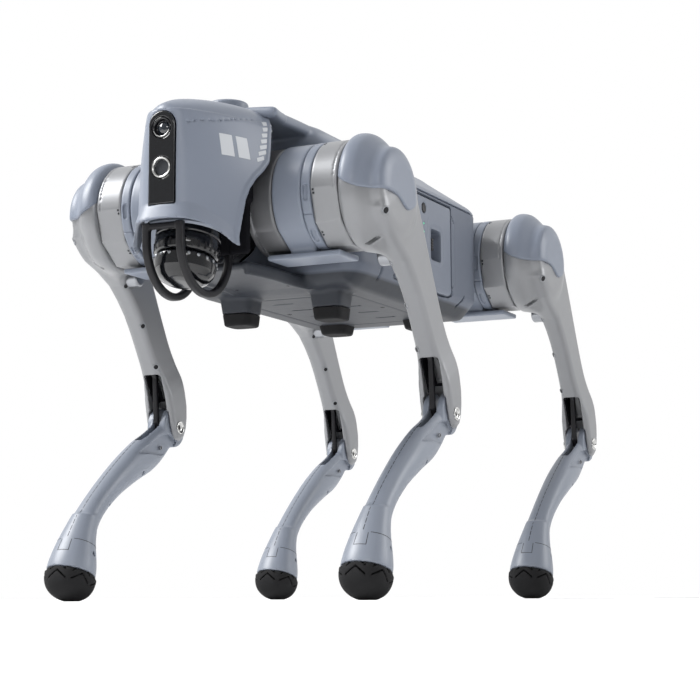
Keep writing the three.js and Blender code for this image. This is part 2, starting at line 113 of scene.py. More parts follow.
def mesh_object(name, vertices, faces, place=TRUNK, smooth_angle=38.0):
    """An object from millimetre vertices in a local frame; a mirrored frame flips its faces."""
    matrix = np.array(scaled(MM, MM, MM) @ place)
    points = np.asarray(vertices, float) @ matrix[:3, :3].T + matrix[:3, 3]
    flipped = np.linalg.det(matrix[:3, :3]) < 0
    data = bpy.data.meshes.new(name)
    if isinstance(faces, np.ndarray):
        quads = faces[:, ::-1] if flipped else faces
        data.vertices.add(len(points))
        data.vertices.foreach_set("co", points.ravel())
        data.loops.add(quads.size)
        data.loops.foreach_set("vertex_index", np.ascontiguousarray(quads).ravel())
        data.polygons.add(len(quads))
        data.polygons.foreach_set("loop_start", np.arange(0, quads.size, 4))
        data.update(calc_edges=True)
    else:
        data.from_pydata(points.tolist(), [],
                         [tuple(face[::-1]) if flipped else tuple(face) for face in faces])
    data.validate()
    data.shade_smooth()
    if smooth_angle:
        data.set_sharp_from_angle(angle=radians(smooth_angle))
    thing = bpy.data.objects.new(name, data)
    bpy.context.scene.collection.objects.link(thing)
    return thing


def surface_net(field, low, high, step):
    """The zero surface of a distance field as quads, its vertices drawn onto the surface."""
    block = 4
    counts = [block * int(np.ceil((b - a + 4 * step) / (block * step))) + 1 for a, b in zip(low, high)]
    axes = [a - 2 * step + step * np.arange(n) for a, n in zip(low, counts)]
    coarse = field(*np.meshgrid(*[axis[::block] for axis in axes], indexing="ij")).astype(np.float32)
    near = np.abs(coarse) < 2.0 * block * step
    picks = [np.minimum((np.arange(n) + block // 2) // block, (n - 1) // block) for n in counts]
    values = coarse[np.ix_(*picks)]
    band = near[np.ix_(*picks)]
    spots = [axis[n] for axis, n in zip(axes, np.nonzero(band))]
    values[band] = field(*spots)
    inside = values < 0
    cells = [n - 1 for n in values.shape]
    corner = lambda array, d: array[d[0]:d[0] + cells[0], d[1]:d[1] + cells[1], d[2]:d[2] + cells[2]]
    corners = [(i, j, k) for i in (0, 1) for j in (0, 1) for k in (0, 1)]
    count = sum(corner(inside, d).astype(np.int8) for d in corners)
    mixed = (count > 0) & (count < 8)
    index = np.full(mixed.shape, -1, np.int64)
    index[mixed] = np.arange(mixed.sum())
    where = np.argwhere(mixed)
    total = np.zeros((len(where), 3))
    hits = np.zeros(len(where))
    for axis in range(3):
        for d in corners:
            if d[axis]:
                continue
            e = tuple(d[n] + (n == axis) for n in range(3))
            a = corner(values, d)[mixed]
            b = corner(values, e)[mixed]
            cross = (a < 0) != (b < 0)
            t = np.where(cross, a / np.where(cross, a - b, 1), 0)
            point = np.tile(np.array(d, float), (len(where), 1))
            point[:, axis] += t
            total[cross] += point[cross]
            hits[cross] += 1
    origin = np.array([axis[0] for axis in axes])
    points = origin + step * (where + total / hits[:, None])
    for _ in range(3):
        points = drawn_onto(field, points, step)
    faces = []
    for axis in range(3):
        u, v = [n for n in range(3) if n != axis]
        a = np.take(inside, range(values.shape[axis] - 1), axis)
        b = np.take(inside, range(1, values.shape[axis]), axis)
        for flip, change in ((False, a & ~b), (True, ~a & b)):
            at = np.argwhere(change)
            at = at[(at[:, u] > 0) & (at[:, v] > 0) & (at[:, u] < cells[u]) & (at[:, v] < cells[v])]
            ring = []
            for du, dv in ((-1, -1), (0, -1), (0, 0), (-1, 0)):
                cell = at.copy()
                cell[:, u] += du
                cell[:, v] += dv
                ring.append(index[cell[:, 0], cell[:, 1], cell[:, 2]])
            quads = np.stack(ring, 1)
            if flip != (axis == 1):
                quads = quads[:, ::-1]
            faces.append(quads)
    return points, np.concatenate(faces)


def slope_of(field, points, small):
    """The rate of change of a field along x, y and z."""
    x, y, z = points.T
    return np.stack([
        field(x + small, y, z) - field(x - small, y, z),
        field(x, y + small, z) - field(x, y - small, z),
        field(x, y, z + small) - field(x, y, z - small)], 1) / (2 * small)


def unit(vectors):
    return vectors / np.linalg.norm(vectors, axis=1)[:, None]


def drawn_onto(field, points, step):
    """Points moved along the field's slope to its zero surface, no further than most of a step."""
    here = field(*points.T)
    slope = slope_of(field, points, 0.12)
    size = np.maximum((slope ** 2).sum(1), 0.05)
    push = slope * (here / size)[:, None]
    length = np.maximum(np.linalg.norm(push, axis=1), 1e-9)
    return points - push * np.minimum(1, 0.6 * step / length)[:, None]


def carved(name, field, low, high, step, place=TRUNK):
    return mesh_object(name, *surface_net(field, low, high, step), place, smooth_angle=50.0)


def lathed(profile, sides=64, axis="y"):
    """Vertices and faces of a [radius, height] profile turned about an axis."""
    profile = np.array(profile, float)
    turn = np.linspace(0, 2 * pi, sides, endpoint=False)
    p = profile[:, 0][:, None] * np.sin(turn)
    q = profile[:, 0][:, None] * np.cos(turn)
    h = np.repeat(profile[:, 1][:, None], sides, 1)
    order = {"y": (p, h, q), "x": (h, q, p), "z": (q, p, h)}[axis]
    points = np.stack(order, -1).reshape(-1, 3)
    faces = []
    for row in range(len(profile) - 1):
        for i in range(sides):
            j = (i + 1) % sides
            faces.append((row * sides + i, row * sides + j, (row + 1) * sides + j, (row + 1) * sides + i))
    for row, flip in ((0, True), (len(profile) - 1, False)):
        if profile[row, 0] > 1e-6:
            ring = tuple(row * sides + i for i in range(sides))
            faces.append(ring[::-1] if flip else ring)
    return points, faces


def rounded_profile(points, radius, steps=4):
    """A [radius, height] outline with each inner corner rounded off."""
    out = [points[0]]
    for before, here, after in zip(points, points[1:], points[2:]):
        a, b, c = (np.array(p, float) for p in (before, here, after))
        reach = min(radius, 0.45 * np.linalg.norm(a - b), 0.45 * np.linalg.norm(c - b))
        start = b + (a - b) / max(np.linalg.norm(a - b), 1e-9) * reach
        end = b + (c - b) / max(np.linalg.norm(c - b), 1e-9) * reach
        for t in np.linspace(0, 1, steps + 1):
            out.append(((1 - t) ** 2 * start + 2 * t * (1 - t) * b + t ** 2 * end).tolist())
    return out + [points[-1]]


def turned(name, profile, place=TRUNK, axis="y", sides=64, radius=0.0):
    outline = rounded_profile(profile, radius) if radius else profile
    return mesh_object(name, *lathed(outline, sides, axis), place)


def swept(path, section):
    """Vertices and faces of a [across, up] section carried along 3-D points."""
    path = np.array(path, float)
    section = np.array(section, float)
    ahead = np.roll(path, -1, 0) - path
    behind = path - np.roll(path, 1, 0)
    ahead[-1], behind[0] = behind[-1], ahead[0]
    along = unit(unit(ahead) + unit(behind))
    across = np.cross(along[0], [0.21, 0.57, 0.79])
    rings = []
    for point, tangent in zip(path, along):
        across = across - tangent * (across @ tangent)
        across /= np.linalg.norm(across)
        up = np.cross(tangent, across)
        rings.append(point + section[:, :1] * across + section[:, 1:] * up)
    points = np.concatenate(rings)
    n, m = len(path), len(section)
    faces = []
    for i in range(n - 1):
        for j in range(m):
            a, b = i * m + j, i * m + (j + 1) % m
            faces.append((a, b, b + m, a + m))
    faces += [tuple(range(m))[::-1], tuple((n - 1) * m + j for j in range(m))]
    return points, faces


def disc_section(radius, sides=10):
    return [(radius * cos(2 * pi * i / sides), radius * sin(2 * pi * i / sides)) for i in range(sides)]


def tube(name, path, radius, place=TRUNK, sides=10):
    return mesh_object(name, *swept(path, disc_section(radius, sides)), place, smooth_angle=60.0)


# ---- Distance fields, in millimetres ----

def both(a, b, soft=1.0):
    """Union with a fillet."""
    h = np.maximum(soft - np.abs(a - b), 0) / soft
    return np.minimum(a, b) - h * h * soft * 0.25


def common(a, b, soft=1.0):
    """Intersection with a rounded edge."""
    return -both(-a, -b, soft)

def meet(*fields):
    """Intersection with a crisp edge."""
    return reduce(np.maximum, fields)


def cut(body, *hollows):
    """A body less each hollow, with crisp edges."""
    return reduce(lambda left, hollow: np.maximum(left, -hollow), hollows, body)


def brick(x, y, z, low, high, corner=1.0):
    middle = [(a + b) / 2 for a, b in zip(low, high)]
    half = [(b - a) / 2 - corner for a, b in zip(low, high)]
    d = [np.abs(v - m) - h for v, m, h in zip((x, y, z), middle, half)]
    outside = np.sqrt(sum(np.maximum(v, 0) ** 2 for v in d))
    return outside + np.minimum(np.maximum(np.maximum(d[0], d[1]), d[2]), 0) - corner


def slab(value, low, high):
    return np.abs(value - (low + high) / 2) - (high - low) / 2


def stick(x, y, z, a, b, radius):
    a, b = np.array(a, float), np.array(b, float)
    ab = b - a
    t = ((x - a[0]) * ab[0] + (y - a[1]) * ab[1] + (z - a[2]) * ab[2]) / (ab @ ab)
    t = np.clip(t, 0, 1)
    gaps = [value - start - t * run for value, start, run in zip((x, y, z), a, ab)]
    return np.sqrt(sum(gap ** 2 for gap in gaps)) - radius


def polygon(p, q, corners):
    """Signed distance to a closed outline."""
    corners = np.array(corners, float)
    best = np.full(np.shape(p), 1e9)
    inside = np.zeros(np.shape(p), bool)
    for (ax, ay), (bx, by) in zip(corners, np.roll(corners, -1, 0)):
        ex, ey = bx - ax, by - ay
        t = np.clip(((p - ax) * ex + (q - ay) * ey) / (ex * ex + ey * ey), 0, 1)
        best = np.minimum(best, (p - ax - t * ex) ** 2 + (q - ay - t * ey) ** 2)
        if ay != by:
            crossing = (ay > q) != (by > q)
            inside ^= crossing & (p < ax + (q - ay) * ex / ey)
    return np.where(inside, -1, 1) * np.sqrt(best)


def curve_points(controls, steps=8):
    """A smooth run through control points (Catmull-Rom)."""
    points = [np.array(c, float) for c in controls]
    points = [2 * points[0] - points[1]] + points + [2 * points[-1] - points[-2]]
    out = []
    for a, b, c, d in zip(points, points[1:], points[2:], points[3:]):
        for t in np.linspace(0, 1, steps, endpoint=False):
            out.append(0.5 * (2 * b + (c - a) * t + (2 * a - 5 * b + 4 * c - d) * t * t
                              + (3 * b - a - 3 * c + d) * t ** 3))
    out.append(points[-2])
    return np.array(out)


@lru_cache(maxsize=None)
def table_curve(places, amounts):
    return curve_points(list(zip(places, amounts)), 10)


def smooth_table(value, places, amounts):
    """A smooth curve through (place, amount) pairs, held beyond its ends."""
    path = table_curve(places, amounts)
    return np.interp(value, path[:, 0], path[:, 1])


def superellipse(p, q, a, b, power):
    reach = (np.abs(p / a) ** power + np.abs(q / b) ** power) ** (1 / power)
    return (reach - 1) * np.minimum(a, b)


# ---- Materials ----

def spread(tree, source, given, wanted, kind="LINEAR"):
    """A node that maps one range of values to another, and its result."""
    node = tree.nodes.new("ShaderNodeMapRange")
    node.interpolation_type = kind
    for end, low_high in (("From", given), ("To", wanted)):
        for side, value in zip(("Min", "Max"), low_high):
            node.inputs[f"{end} {side}"].default_value = value
    tree.links.new(source, node.inputs["Value"])
    return node.outputs["Result"]


def material(name, colour, roughness, metallic=0.0, mottle=0.04, grain=0.05, grain_scale=2600.0,
             patch_scale=35.0, coat=0.0, edge_highlight=0.0, rough_change=0.08, gleam=0.5):
    """A moulded, cast or painted surface: slow colour drift, fine grain and convex edges lightened as a
    painted highlight.
    """
    made = bpy.data.materials.new(name)
    made.use_nodes = True
    nodes, links = made.node_tree.nodes, made.node_tree.links
    shader = nodes["Principled BSDF"]
    shader.inputs["Metallic"].default_value = metallic
    shader.inputs["Coat Weight"].default_value = coat
    shader.inputs["Specular IOR Level"].default_value = gleam
    shader.inputs["Coat Roughness"].default_value = 0.12
    place = nodes.new("ShaderNodeTexCoord").outputs["Object"]

    def noise(scale, detail):
        node = nodes.new("ShaderNodeTexNoise")
        node.inputs["Scale"].default_value = scale
        node.inputs["Detail"].default_value = detail
        links.new(place, node.inputs["Vector"])
        return node.outputs["Fac"]

    patches = noise(patch_scale, 4.0)
    tint = nodes.new("ShaderNodeMix")
    tint.data_type = "RGBA"
    tint.inputs["A"].default_value = (*[c * (1 - mottle) for c in colour], 1)
    tint.inputs["B"].default_value = (*[min(1, c * (1 + mottle)) for c in colour], 1)
    links.new(patches, tint.inputs["Factor"])
    surface = tint.outputs["Result"]
    # Painted highlight: convex edges, found by pointiness, are lightened as if they caught the light.
    if edge_highlight:
        edges = nodes.new("ShaderNodeNewGeometry").outputs["Pointiness"]
        sharp = spread(made.node_tree, edges, (0.53, 0.62), (0, edge_highlight))
        edge_lit = nodes.new("ShaderNodeMix")
        edge_lit.data_type = "RGBA"
        edge_lit.inputs["B"].default_value = (*[min(1, c * 1.7 + 0.05) for c in colour], 1)
        links.new(sharp, edge_lit.inputs["Factor"])
        links.new(surface, edge_lit.inputs["A"])
        surface = edge_lit.outputs["Result"]
    links.new(surface, shader.inputs["Base Color"])
    sheen = (roughness - rough_change / 2, roughness + rough_change / 2)
    links.new(spread(made.node_tree, noise(patch_scale * 3, 6.0), (0, 1), sheen), shader.inputs["Roughness"])
    bump = nodes.new("ShaderNodeBump")
    bump.inputs["Strength"].default_value = grain
    bump.inputs["Distance"].default_value = 0.0002
    links.new(noise(grain_scale, 2.0), bump.inputs["Height"])
    links.new(bump.outputs["Normal"], shader.inputs["Normal"])
    return made


def brushed(name, colour, roughness, metallic=1.0, stretch=(1.0, 1.0, 14.0)):
    """Metal with a faint directional polish."""
    made = material(name, colour, roughness, metallic, mottle=0.03, grain=0.08, grain_scale=1500.0)
    nodes, links = made.node_tree.nodes, made.node_tree.links
    mapping = nodes.new("ShaderNodeMapping")
    mapping.inputs["Scale"].default_value = stretch
    coordinates = next(n for n in nodes if n.type == "TEX_COORD")
    links.new(coordinates.outputs["Object"], mapping.inputs["Vector"])
    for texture in [n for n in nodes if n.type == "TEX_NOISE"]:
        links.new(mapping.outputs["Vector"], texture.inputs["Vector"])
    return made


def glow(name, colour, strength):
    made = material(name, colour, 0.3)
    shader = made.node_tree.nodes["Principled BSDF"]
    shader.inputs["Emission Color"].default_value = (*colour, 1)
    shader.inputs["Emission Strength"].default_value = strength
    return made


def glass(name, colour, roughness=0.02):
    made = material(name, colour, roughness, mottle=0.0, grain=0.0, rough_change=0.0, coat=1.0)
    made.node_tree.nodes["Principled BSDF"].inputs["Coat Roughness"].default_value = 0.01
    return made


def shaded_below(name, colour, below, level, **look):
    """A moulding with painted shade: its colour is scaled by an amount below a height in metres, so that its
    underside reads darker.
    """
    made = material(name, colour, 0.50, **look)
    nodes, links = made.node_tree.nodes, made.node_tree.links
    base = nodes["Principled BSDF"].inputs["Base Color"]
    height = nodes.new("ShaderNodeSeparateXYZ")
    links.new(next(n for n in nodes if n.type == "TEX_COORD").outputs["Object"], height.inputs["Vector"])
    split = spread(made.node_tree, height.outputs["Z"], (level - 0.0015, level + 0.0015), (below, 1))
    scale = nodes.new("ShaderNodeVectorMath")
    scale.operation = "SCALE"
    links.new(base.links[0].from_socket, scale.inputs["Vector"])
    links.new(split, scale.inputs["Scale"])
    links.new(scale.outputs["Vector"], base)
    return made


# The edge amount given to the shell, dark shell, silver and calf finishes lightens their convex edges as a
# painted highlight.
M = {
    "shell": material("shell_paint", (0.186, 0.211, 0.264), 0.40, mottle=0.03, grain=0.06, edge_highlight=0.10),
    "shell_dark": material("shell_dark_moulding", (0.150, 0.171, 0.216), 0.46, grain=0.10, edge_highlight=0.10),
    # Painted shade: the belly is darker than the shell, and darker still below about 54 mm under the hips,
    # for its shaded underside.
    "belly": shaded_below("belly_painted_shade", (0.120, 0.137, 0.174), 0.24, HIP_Z * MM - 0.054, grain=0.10,
                      gleam=0.3),
    "silver": material("cast_silver", (0.250, 0.255, 0.267), 0.38, metallic=0.35, mottle=0.025, grain=0.10,
                       edge_highlight=0.08),
    # Painted shade: a darker copy of the cast silver, for the inner hubs that sit in shade against the trunk.
    "silver_shaded": material("cast_silver_shaded", (0.150, 0.153, 0.162), 0.40, metallic=0.5, mottle=0.03, grain=0.10),
    "calf": material("calf_paint", (0.208, 0.232, 0.280), 0.40, mottle=0.025, grain=0.05, edge_highlight=0.08),
    "black": material("black_moulding", (0.007, 0.007, 0.009), 0.42, mottle=0.15, grain=0.12, gleam=0.3),
    "gloss": material("gloss_black", (0.004, 0.0045, 0.006), 0.12, mottle=0.1, grain=0.01, coat=0.3),
    "rubber": material("foot_rubber", (0.010, 0.010, 0.011), 0.80, mottle=0.2, grain=0.45, grain_scale=1400.0,
                       gleam=0.25),
    "chrome": brushed("polished_ring", (0.62, 0.62, 0.61), 0.18),
    "steel": brushed("machined_steel", (0.30, 0.31, 0.33), 0.30),
    "motor": brushed("dark_anodised", (0.07, 0.074, 0.082), 0.42),
    "brass": brushed("warm_reflector", (0.62, 0.52, 0.32), 0.16),
    "lens": glass("coated_lens", (0.006, 0.011, 0.018)),
    "lamp": glass("lamp_window", (0.55, 0.53, 0.42)),
    "seam": material("seam_shadow", (0.010, 0.011, 0.013), 0.75),
    "board": material("solder_mask", (0.012, 0.060, 0.036), 0.45, mottle=0.2),
    "decal": material("decal_ink", (0.50, 0.52, 0.55), 0.45, mottle=0.02),
    "led": glow("status_light", (0.10, 0.60, 0.34), 0.35),
    # Painted shade: a near-black, matte finish for skins and walls set inside hollows, where there is only
    # shade.
    "inside": material("painted_shade_black", (0.006, 0.006, 0.008), 0.90, gleam=0.1),
}


def piece(thing, body, finish, *nodes):
    """Gives a piece its material and its body, and hides the CAD nodes that it stands for."""
    thing.data.materials.append(M[finish])
    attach(thing, body)
    if nodes:
        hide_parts(*nodes)
    return thing


# ---- Fine details laid on a surface ----

def on_surface(field, points, reach=6.0):
    points = np.array(points, float)
    for _ in range(12):
        points = drawn_onto(field, points, reach)
    return points


def normals(field, points):
    return unit(slope_of(field, points, 0.4))


class Bundle:
    """Small parts of one finish and one body, gathered into one object."""

    def __init__(self):
        self.points, self.faces, self.count = [], [], 0

    def add(self, points, faces):
        self.points.append(np.array(points, float))
        self.faces += [tuple(int(i) + self.count for i in face) for face in faces]
        self.count += len(points)

    def made(self, name, place, body, finish, angle=38.0):
        thing = mesh_object(name, np.concatenate(self.points), self.faces, place, angle)
        return piece(thing, body, finish)


def stood_on(points, spot, direction):
    """Points modelled about +Z, moved so that +Z points along a direction from a spot."""
    turn = np.array(Vector(direction).to_track_quat("Z", "Y").to_matrix())
    return np.array(points) @ turn.T + np.array(spot)


def screw_set(name, field, spots, place, body, ring="chrome"):
    """Recessed screws: a bright rim with a dark hexagon socket, set into a surface."""
    rims, wells = Bundle(), Bundle()
    starts = np.array([spot[:3] for spot in spots], float)
    places = on_surface(field, starts)
    for (_, _, _, radius), spot, normal in zip(spots, places, normals(field, places)):
        rim = [(radius * 0.70, -1.2), (radius * 0.70, -0.1), (radius * 0.78, 0.25), (radius * 0.95, 0.30),
               (radius * 1.02, 0.05), (radius * 1.02, -1.2)]
        points, faces = lathed(rim, 24, "z")
        rims.add(stood_on(points, spot, normal), faces)
        head = [(0.0, 0.04), (radius * 0.30, 0.04), (radius * 0.36, 0.22), (radius * 0.62, 0.24),
                (radius * 0.71, 0.10), (radius * 0.71, -1.2), (0.0, -1.2)]
        points, faces = lathed(head[::-1], 12, "z")
        wells.add(stood_on(points, spot, normal), faces)
    rims.made(f"{name}_rims", place, body, ring)
    wells.made(f"{name}_sockets", place, body, "black")


def seam_set(name, field, paths, place, body, radius=0.35, finish="seam"):
    """Parting lines: thin dark beads half sunk into the surface along each path."""
    beads = Bundle()
    for path in paths:
        line = on_surface(field, path, 2.0)
        line = line + normals(field, line) * (-0.45 * radius)
        beads.add(*swept(line, disc_section(radius, 6)))
    return beads.made(name, place, body, finish, 60.0)


def arc(centre, radius, start, stop, steps, level, plane="xz"):
    """Points along part of a circle, in a plane at a level."""
    turns = np.radians(np.linspace(start, stop, steps))
    p = centre[0] + radius * np.cos(turns)
    q = centre[1] + radius * np.sin(turns)
    h = np.full(steps, float(level))
    return {"xz": np.stack([p, h, q], 1), "yz": np.stack([h, p, q], 1), "xy": np.stack([p, q, h], 1)}[plane]


def dashes(path, dash, gap):
    """A path cut into dashes, by length."""
    path = np.array(path, float)
    length = np.concatenate([[0], np.cumsum(np.linalg.norm(np.diff(path, axis=0), axis=1))])
    out, start = [], 0.0
    while start + dash < length[-1]:
        steps = np.linspace(start, start + dash, 3)
        out.append(np.stack([np.interp(steps, length, path[:, n]) for n in range(3)], 1))
        start += dash + gap
    return out


# ---- One leg. Hip frame: x forward, y outward, z up ----

def flattened(p, q, radius, corners):
    """A circle whose lower part is a run of flat facets between the given angles."""
    d = np.hypot(p, q) - radius
    for a, b in zip(corners, corners[1:]):
        middle = radians((a + b) / 2)
        reach = radius * cos(radians((a - b) / 2))
        d = meet(d, p * cos(middle) + q * sin(middle) - reach)
    return d


CASING_FACETS = (-42, -74, -106, -138)
DRUM_FACETS = (0, -36, -72, -108, -144, -180)


def casing_field(x, y, z):
    barrel = flattened(x, z, 47.6, CASING_FACETS)
    barrel = common(barrel, slab(y, SILVER_OUT + 0.4, CASING_OUT - 0.3), 2.2)
    plate = brick(x, y, z, (-19, -9, -53.4), (19, 61, -48.6), 1.6)
    foot = brick(x, y, z, (-15, 12, -50), (15, 35, -42), 2)
    return both(barrel, both(plate, foot, 2.5), 2.5)


def hub_field(x, y, z):
    """The inner barrel, and behind it the round housing of the abduction bearing."""
    barrel = common(flattened(x, z, 46.4, CASING_FACETS), slab(y, -17.5, SILVER_OUT), 3.0)
    bearing = common(np.hypot(y, z) - 39.5, slab(x, -46, -2), 3.0)
    bearing = meet(bearing, y - SILVER_OUT)
    collar = np.abs(np.hypot(x, z) - 46.6) - 0.9
    collar = common(collar, slab(y, -16.6, -12.6), 0.6)
    return both(both(barrel, bearing, 6.0), collar, 0.8)


def ring_field(x, y, z):
    body = common(np.hypot(x, z) - 47.8, slab(y, CASING_OUT + 0.3, RING_OUT - 0.1), 1.2)
    middle = (CASING_OUT + RING_OUT) / 2
    for turn in (-4, -52, 176, 232):
        c, s = cos(radians(turn)), sin(radians(turn))
        along = z * c - x * s
        outward = x * c + z * s
        oval = np.hypot(np.maximum(np.abs(along) - 4.8, 0), y - middle) - 2.1
        body = common(body, -meet(oval, 46.0 - outward), 0.5)
    for turn in (-26, 62, 122, 206):
        c, s = cos(radians(turn)), sin(radians(turn))
        notch = meet(np.abs(z * c - x * s) - 0.7, 46.7 - (x * c + z * s))
        body = cut(body, notch)
    return body


def drum_field(x, y, z):
    body = flattened(x, z, 48.0, DRUM_FACETS)
    body = common(body, slab(y, RING_OUT + 0.3, DRUM_OUT), 1.6)
    return cut(body, meet(np.abs(y - (DRUM_OUT - 3.6)) - 0.35, 47.3 - np.hypot(x, z)))


CROWN = ((71.8, 80, 86, 90, 94, 97.5, 101, 105, 108, 111.5),
         (51.4, 52.2, 51.0, 48.4, 44.2, 40.6, 38.9, 38.0, 36.4, 32.0))
COS_T, SIN_T = cos(radians(THIGH_PITCH)), sin(radians(THIGH_PITCH))


def crown_radius(y):
    return smooth_table(y, *CROWN)


def root_field(x, y, z, less=2.5):
    """The turned root of the thigh: wide at the drum, necked, with a smaller outer boss."""
    reach = (np.hypot(x, z) - crown_radius(y) + less) * 0.8
    return common(reach, slab(y, DRUM_OUT + 0.3, ARM_OUT + 3.2 - less), 5.0)


ARM_FRONT = ((36, 0), (31, -25), (19, -45), (10, -60), (5, -77), (1.8, -94), (0.6, -112), (0, -140),
             (-1.2, -165), (0.5, -178), (4, -190), (8, -202), (10.5, -213), (9.5, -221), (4, -226))
ARM_REAR = ((-4, -226), (-12, -221), (-19, -213), (-25, -203), (-29.5, -190), (-33.2, -176), (-34, -161),
            (-35, -140), (-36.5, -118), (-38.5, -90), (-39.5, -60), (-40, -30), (-38, 0))
ROD_BEND = 20
ROD_ROOM = ((-0.8, 0), (-0.8, -12), (-ROD_BEND - 0.8, -66), (-ROD_BEND - 0.8, -190), (-1, -190), (-1.2, -162),
            (-3.4, -136), (-3.4, -66), (17, -8), (17, 0))


def arm_width(z):
    return smooth_table(-z, (0, 60, 100, 140, 160, 175, 190, 240),
                        (11, 9.8, 9.2, 9.6, 11.2, 13.8, 15.3, 15.4))


def limb_field(x, y, z):
    """The bowed limb below the root, crisp at its edges and wider at the knee."""
    across = np.abs(y - LEG_MID) - arm_width(z)
    return common(polygon(x, z, ARM_FRONT + ARM_REAR), across, 6.0)


def pocket_field(x, y, z, less=0.0):
    """The opening in the front of the limb above the knee."""
    across = common(np.abs(y - LEG_MID) - 9 + less, slab(z, -215, -157) + less, 5.0)
    return meet(across, less - 17 - x)


def knee_gap(x, y, z):
    reach = np.minimum(z + LINK - 5, np.hypot(x, z + LINK) - 20)
    return meet(np.abs(y - LEG_MID) - 10.7, reach)


def arm_field(x, y, z):
    body = both(root_field(x, y, z), limb_field(x, y, z), 9.0)
    mid = y - LEG_MID
    body = common(body, -pocket_field(x, y, z), 1.6)
    body = common(body, -knee_gap(x, y, z), 1.6)
    channel = meet(polygon(x, z, ROD_ROOM), np.abs(mid) - 3.8)
    crank_room = meet(np.hypot(x, z) - 20.8, slab(mid, -9.5, 3.4))
    hub_bore = meet(np.hypot(x, z) - 9, slab(y, 70, 88))
    axle_bore = np.hypot(x, z + LINK) - 5.2
    body = cut(body, channel, crank_room, hub_bore, axle_bore)
    slot_x, slot_z = (x - 33.5) * 0.6 + (z + 27.5) * 0.8, (x - 33.5) * 0.8 - (z + 27.5) * 0.6
    slot = np.hypot(np.maximum(np.abs(y - 89.5 + slot_x * 0.5) - 3.6, 0), slot_x) - 2.6
    body = common(body, -meet(slot, -2.0 - slot_z), 0.6)
    return body


def pocket_shade_field(x, y, z):
    """A thin near-black skin lining the pocket, painted shade for its hollow."""
    skin = cut(pocket_field(x, y, z, 0.05), pocket_field(x, y, z, 1.25))
    skin = meet(skin, x + 5, -192.5 - z)
    return cut(skin, meet(polygon(x, z, ROD_ROOM), np.abs(y - LEG_MID) - 3.8))


def cap_edge(x, y, z):
    """How far a point is above the cap's wavy lower edge, in the hip's upright frame."""
    xh, zh = x * COS_T + z * SIN_T, -x * SIN_T + z * COS_T
    wave = smooth_table(y, (71.8, 79, 88, 94, 101, 107, 112), (7, 2, -2, -3, -3.6, -3.6, -3.6))
    outer = np.clip((y - 100) / 8, 0, 1)
    tongue = -10.5 * np.exp(-((xh + 13) / 17) ** 2)
    return zh - wave - tongue * outer


def cap_field(x, y, z):
    outer = (np.hypot(x, z) - crown_radius(y)) * 0.8
    outer = common(outer, slab(y, DRUM_OUT + 0.3, ARM_OUT + 4.0), 7.0)
    inner = root_field(x, y, z, 5.5)
    shell = common(outer, -inner, 0.3)
    return common(shell, -cap_edge(x, y, z), 1.6)


ROD_PATH = ((0, 0), (-ROD_BEND, -55), (-ROD_BEND, -157.5), (0, -194.5), (0, -LINK))


def rod_field(x, y, z):
    bars = [stick(x, 0, z, (a[0], 0, a[1]), (b[0], 0, b[1]), 2.4) for a, b in zip(ROD_PATH, ROD_PATH[1:])]
    bar = common(np.min(bars, 0), np.abs(y) - 2.3, 1.0)
    eyes = both(
        common(np.hypot(x, z) - 6, np.abs(y) - 2.5, 0.8),
        common(np.hypot(x, z + LINK) - 5.5, np.abs(y) - 2.5, 0.8), 0.1)
    return cut(both(bar, eyes, 2.0), np.hypot(x, z) - 3.4)


CALF_V = (-6, 8, 32, 54, 84, 118, 150, 176, 193, 206, 222)
CALF_BOW = (0, 0, 2.5, 7.5, 15, 21, 22.7, 19, 13.5, 7.5, 0)
CALF_DEPTH = (14.5, 13.8, 16.5, 17.5, 14.5, 11.5, 10.6, 12.4, 15, 17, 18)
CALF_WIDE = (9.9, 9.9, 10, 11.5, 12.2, 11.2, 11, 12.8, 15.5, 17, 18)
SHAFT_H = (0, 8, 18, 30, 42, 56)
SHAFT_R = (21.3, 21.0, 19.2, 16.0, 12.8, 9.0)
BOOT_PITCH = -20 - CALF_PITCH
BOOT_TOP = 2
BOOT_COS, BOOT_SIN = cos(radians(BOOT_PITCH)), sin(radians(BOOT_PITCH))


def boot_height(x, z):
    """Height above the foot's centre along the boot's own axis."""
    return x * BOOT_SIN + (z + LINK) * BOOT_COS


def calf_body(x, y, z):
    v = -z
    bow, depth, wide = (smooth_table(v, CALF_V, row) for row in (CALF_BOW, CALF_DEPTH, CALF_WIDE))
    body = superellipse(x - bow, y, depth, wide, 2.3) * 0.93
    body = meet(body, -v - 3)
    height = boot_height(x, z)
    across = x * BOOT_COS - (z + LINK) * BOOT_SIN
    shaft = meet((np.hypot(across, y) - smooth_table(height, SHAFT_H, SHAFT_R)) * 0.95, height - 55)
    body = both(body, shaft, 5.0)
    return both(body, common(np.hypot(x, z) - 18.4, np.abs(y) - 9.9, 1.6), 2.0)


RECESS = ((9, -24), (21, -66), (10, -52), (-5, -36), (-14, -16), (-12, -6), (0, -10))


def calf_field(x, y, z):
    body = calf_body(x, y, z)
    hollow = meet(polygon(x, z, RECESS), 7.6 - np.abs(y))
    body = common(body, -hollow, 1.2)
    slot = meet(polygon(x, z, ((-24, -22), (-24, 20), (40, 20), (40, -64), (3, -31), (-8, -22))),
                np.abs(y) - 3.6)
    body = cut(body, slot)
    for at_x, at_z in ((6, -73), (19, -136), (16, -168), (-1, -186), (12, -194)):
        hole = meet(np.hypot(x - at_x + 3, z - at_z) - 2.2, 6.0 - np.abs(y))
        body = cut(body, hole)
    body = cut(body, np.hypot(x, z) - 5.2)
    return common(body, BOOT_TOP + 0.4 - boot_height(x, z), 0.8)


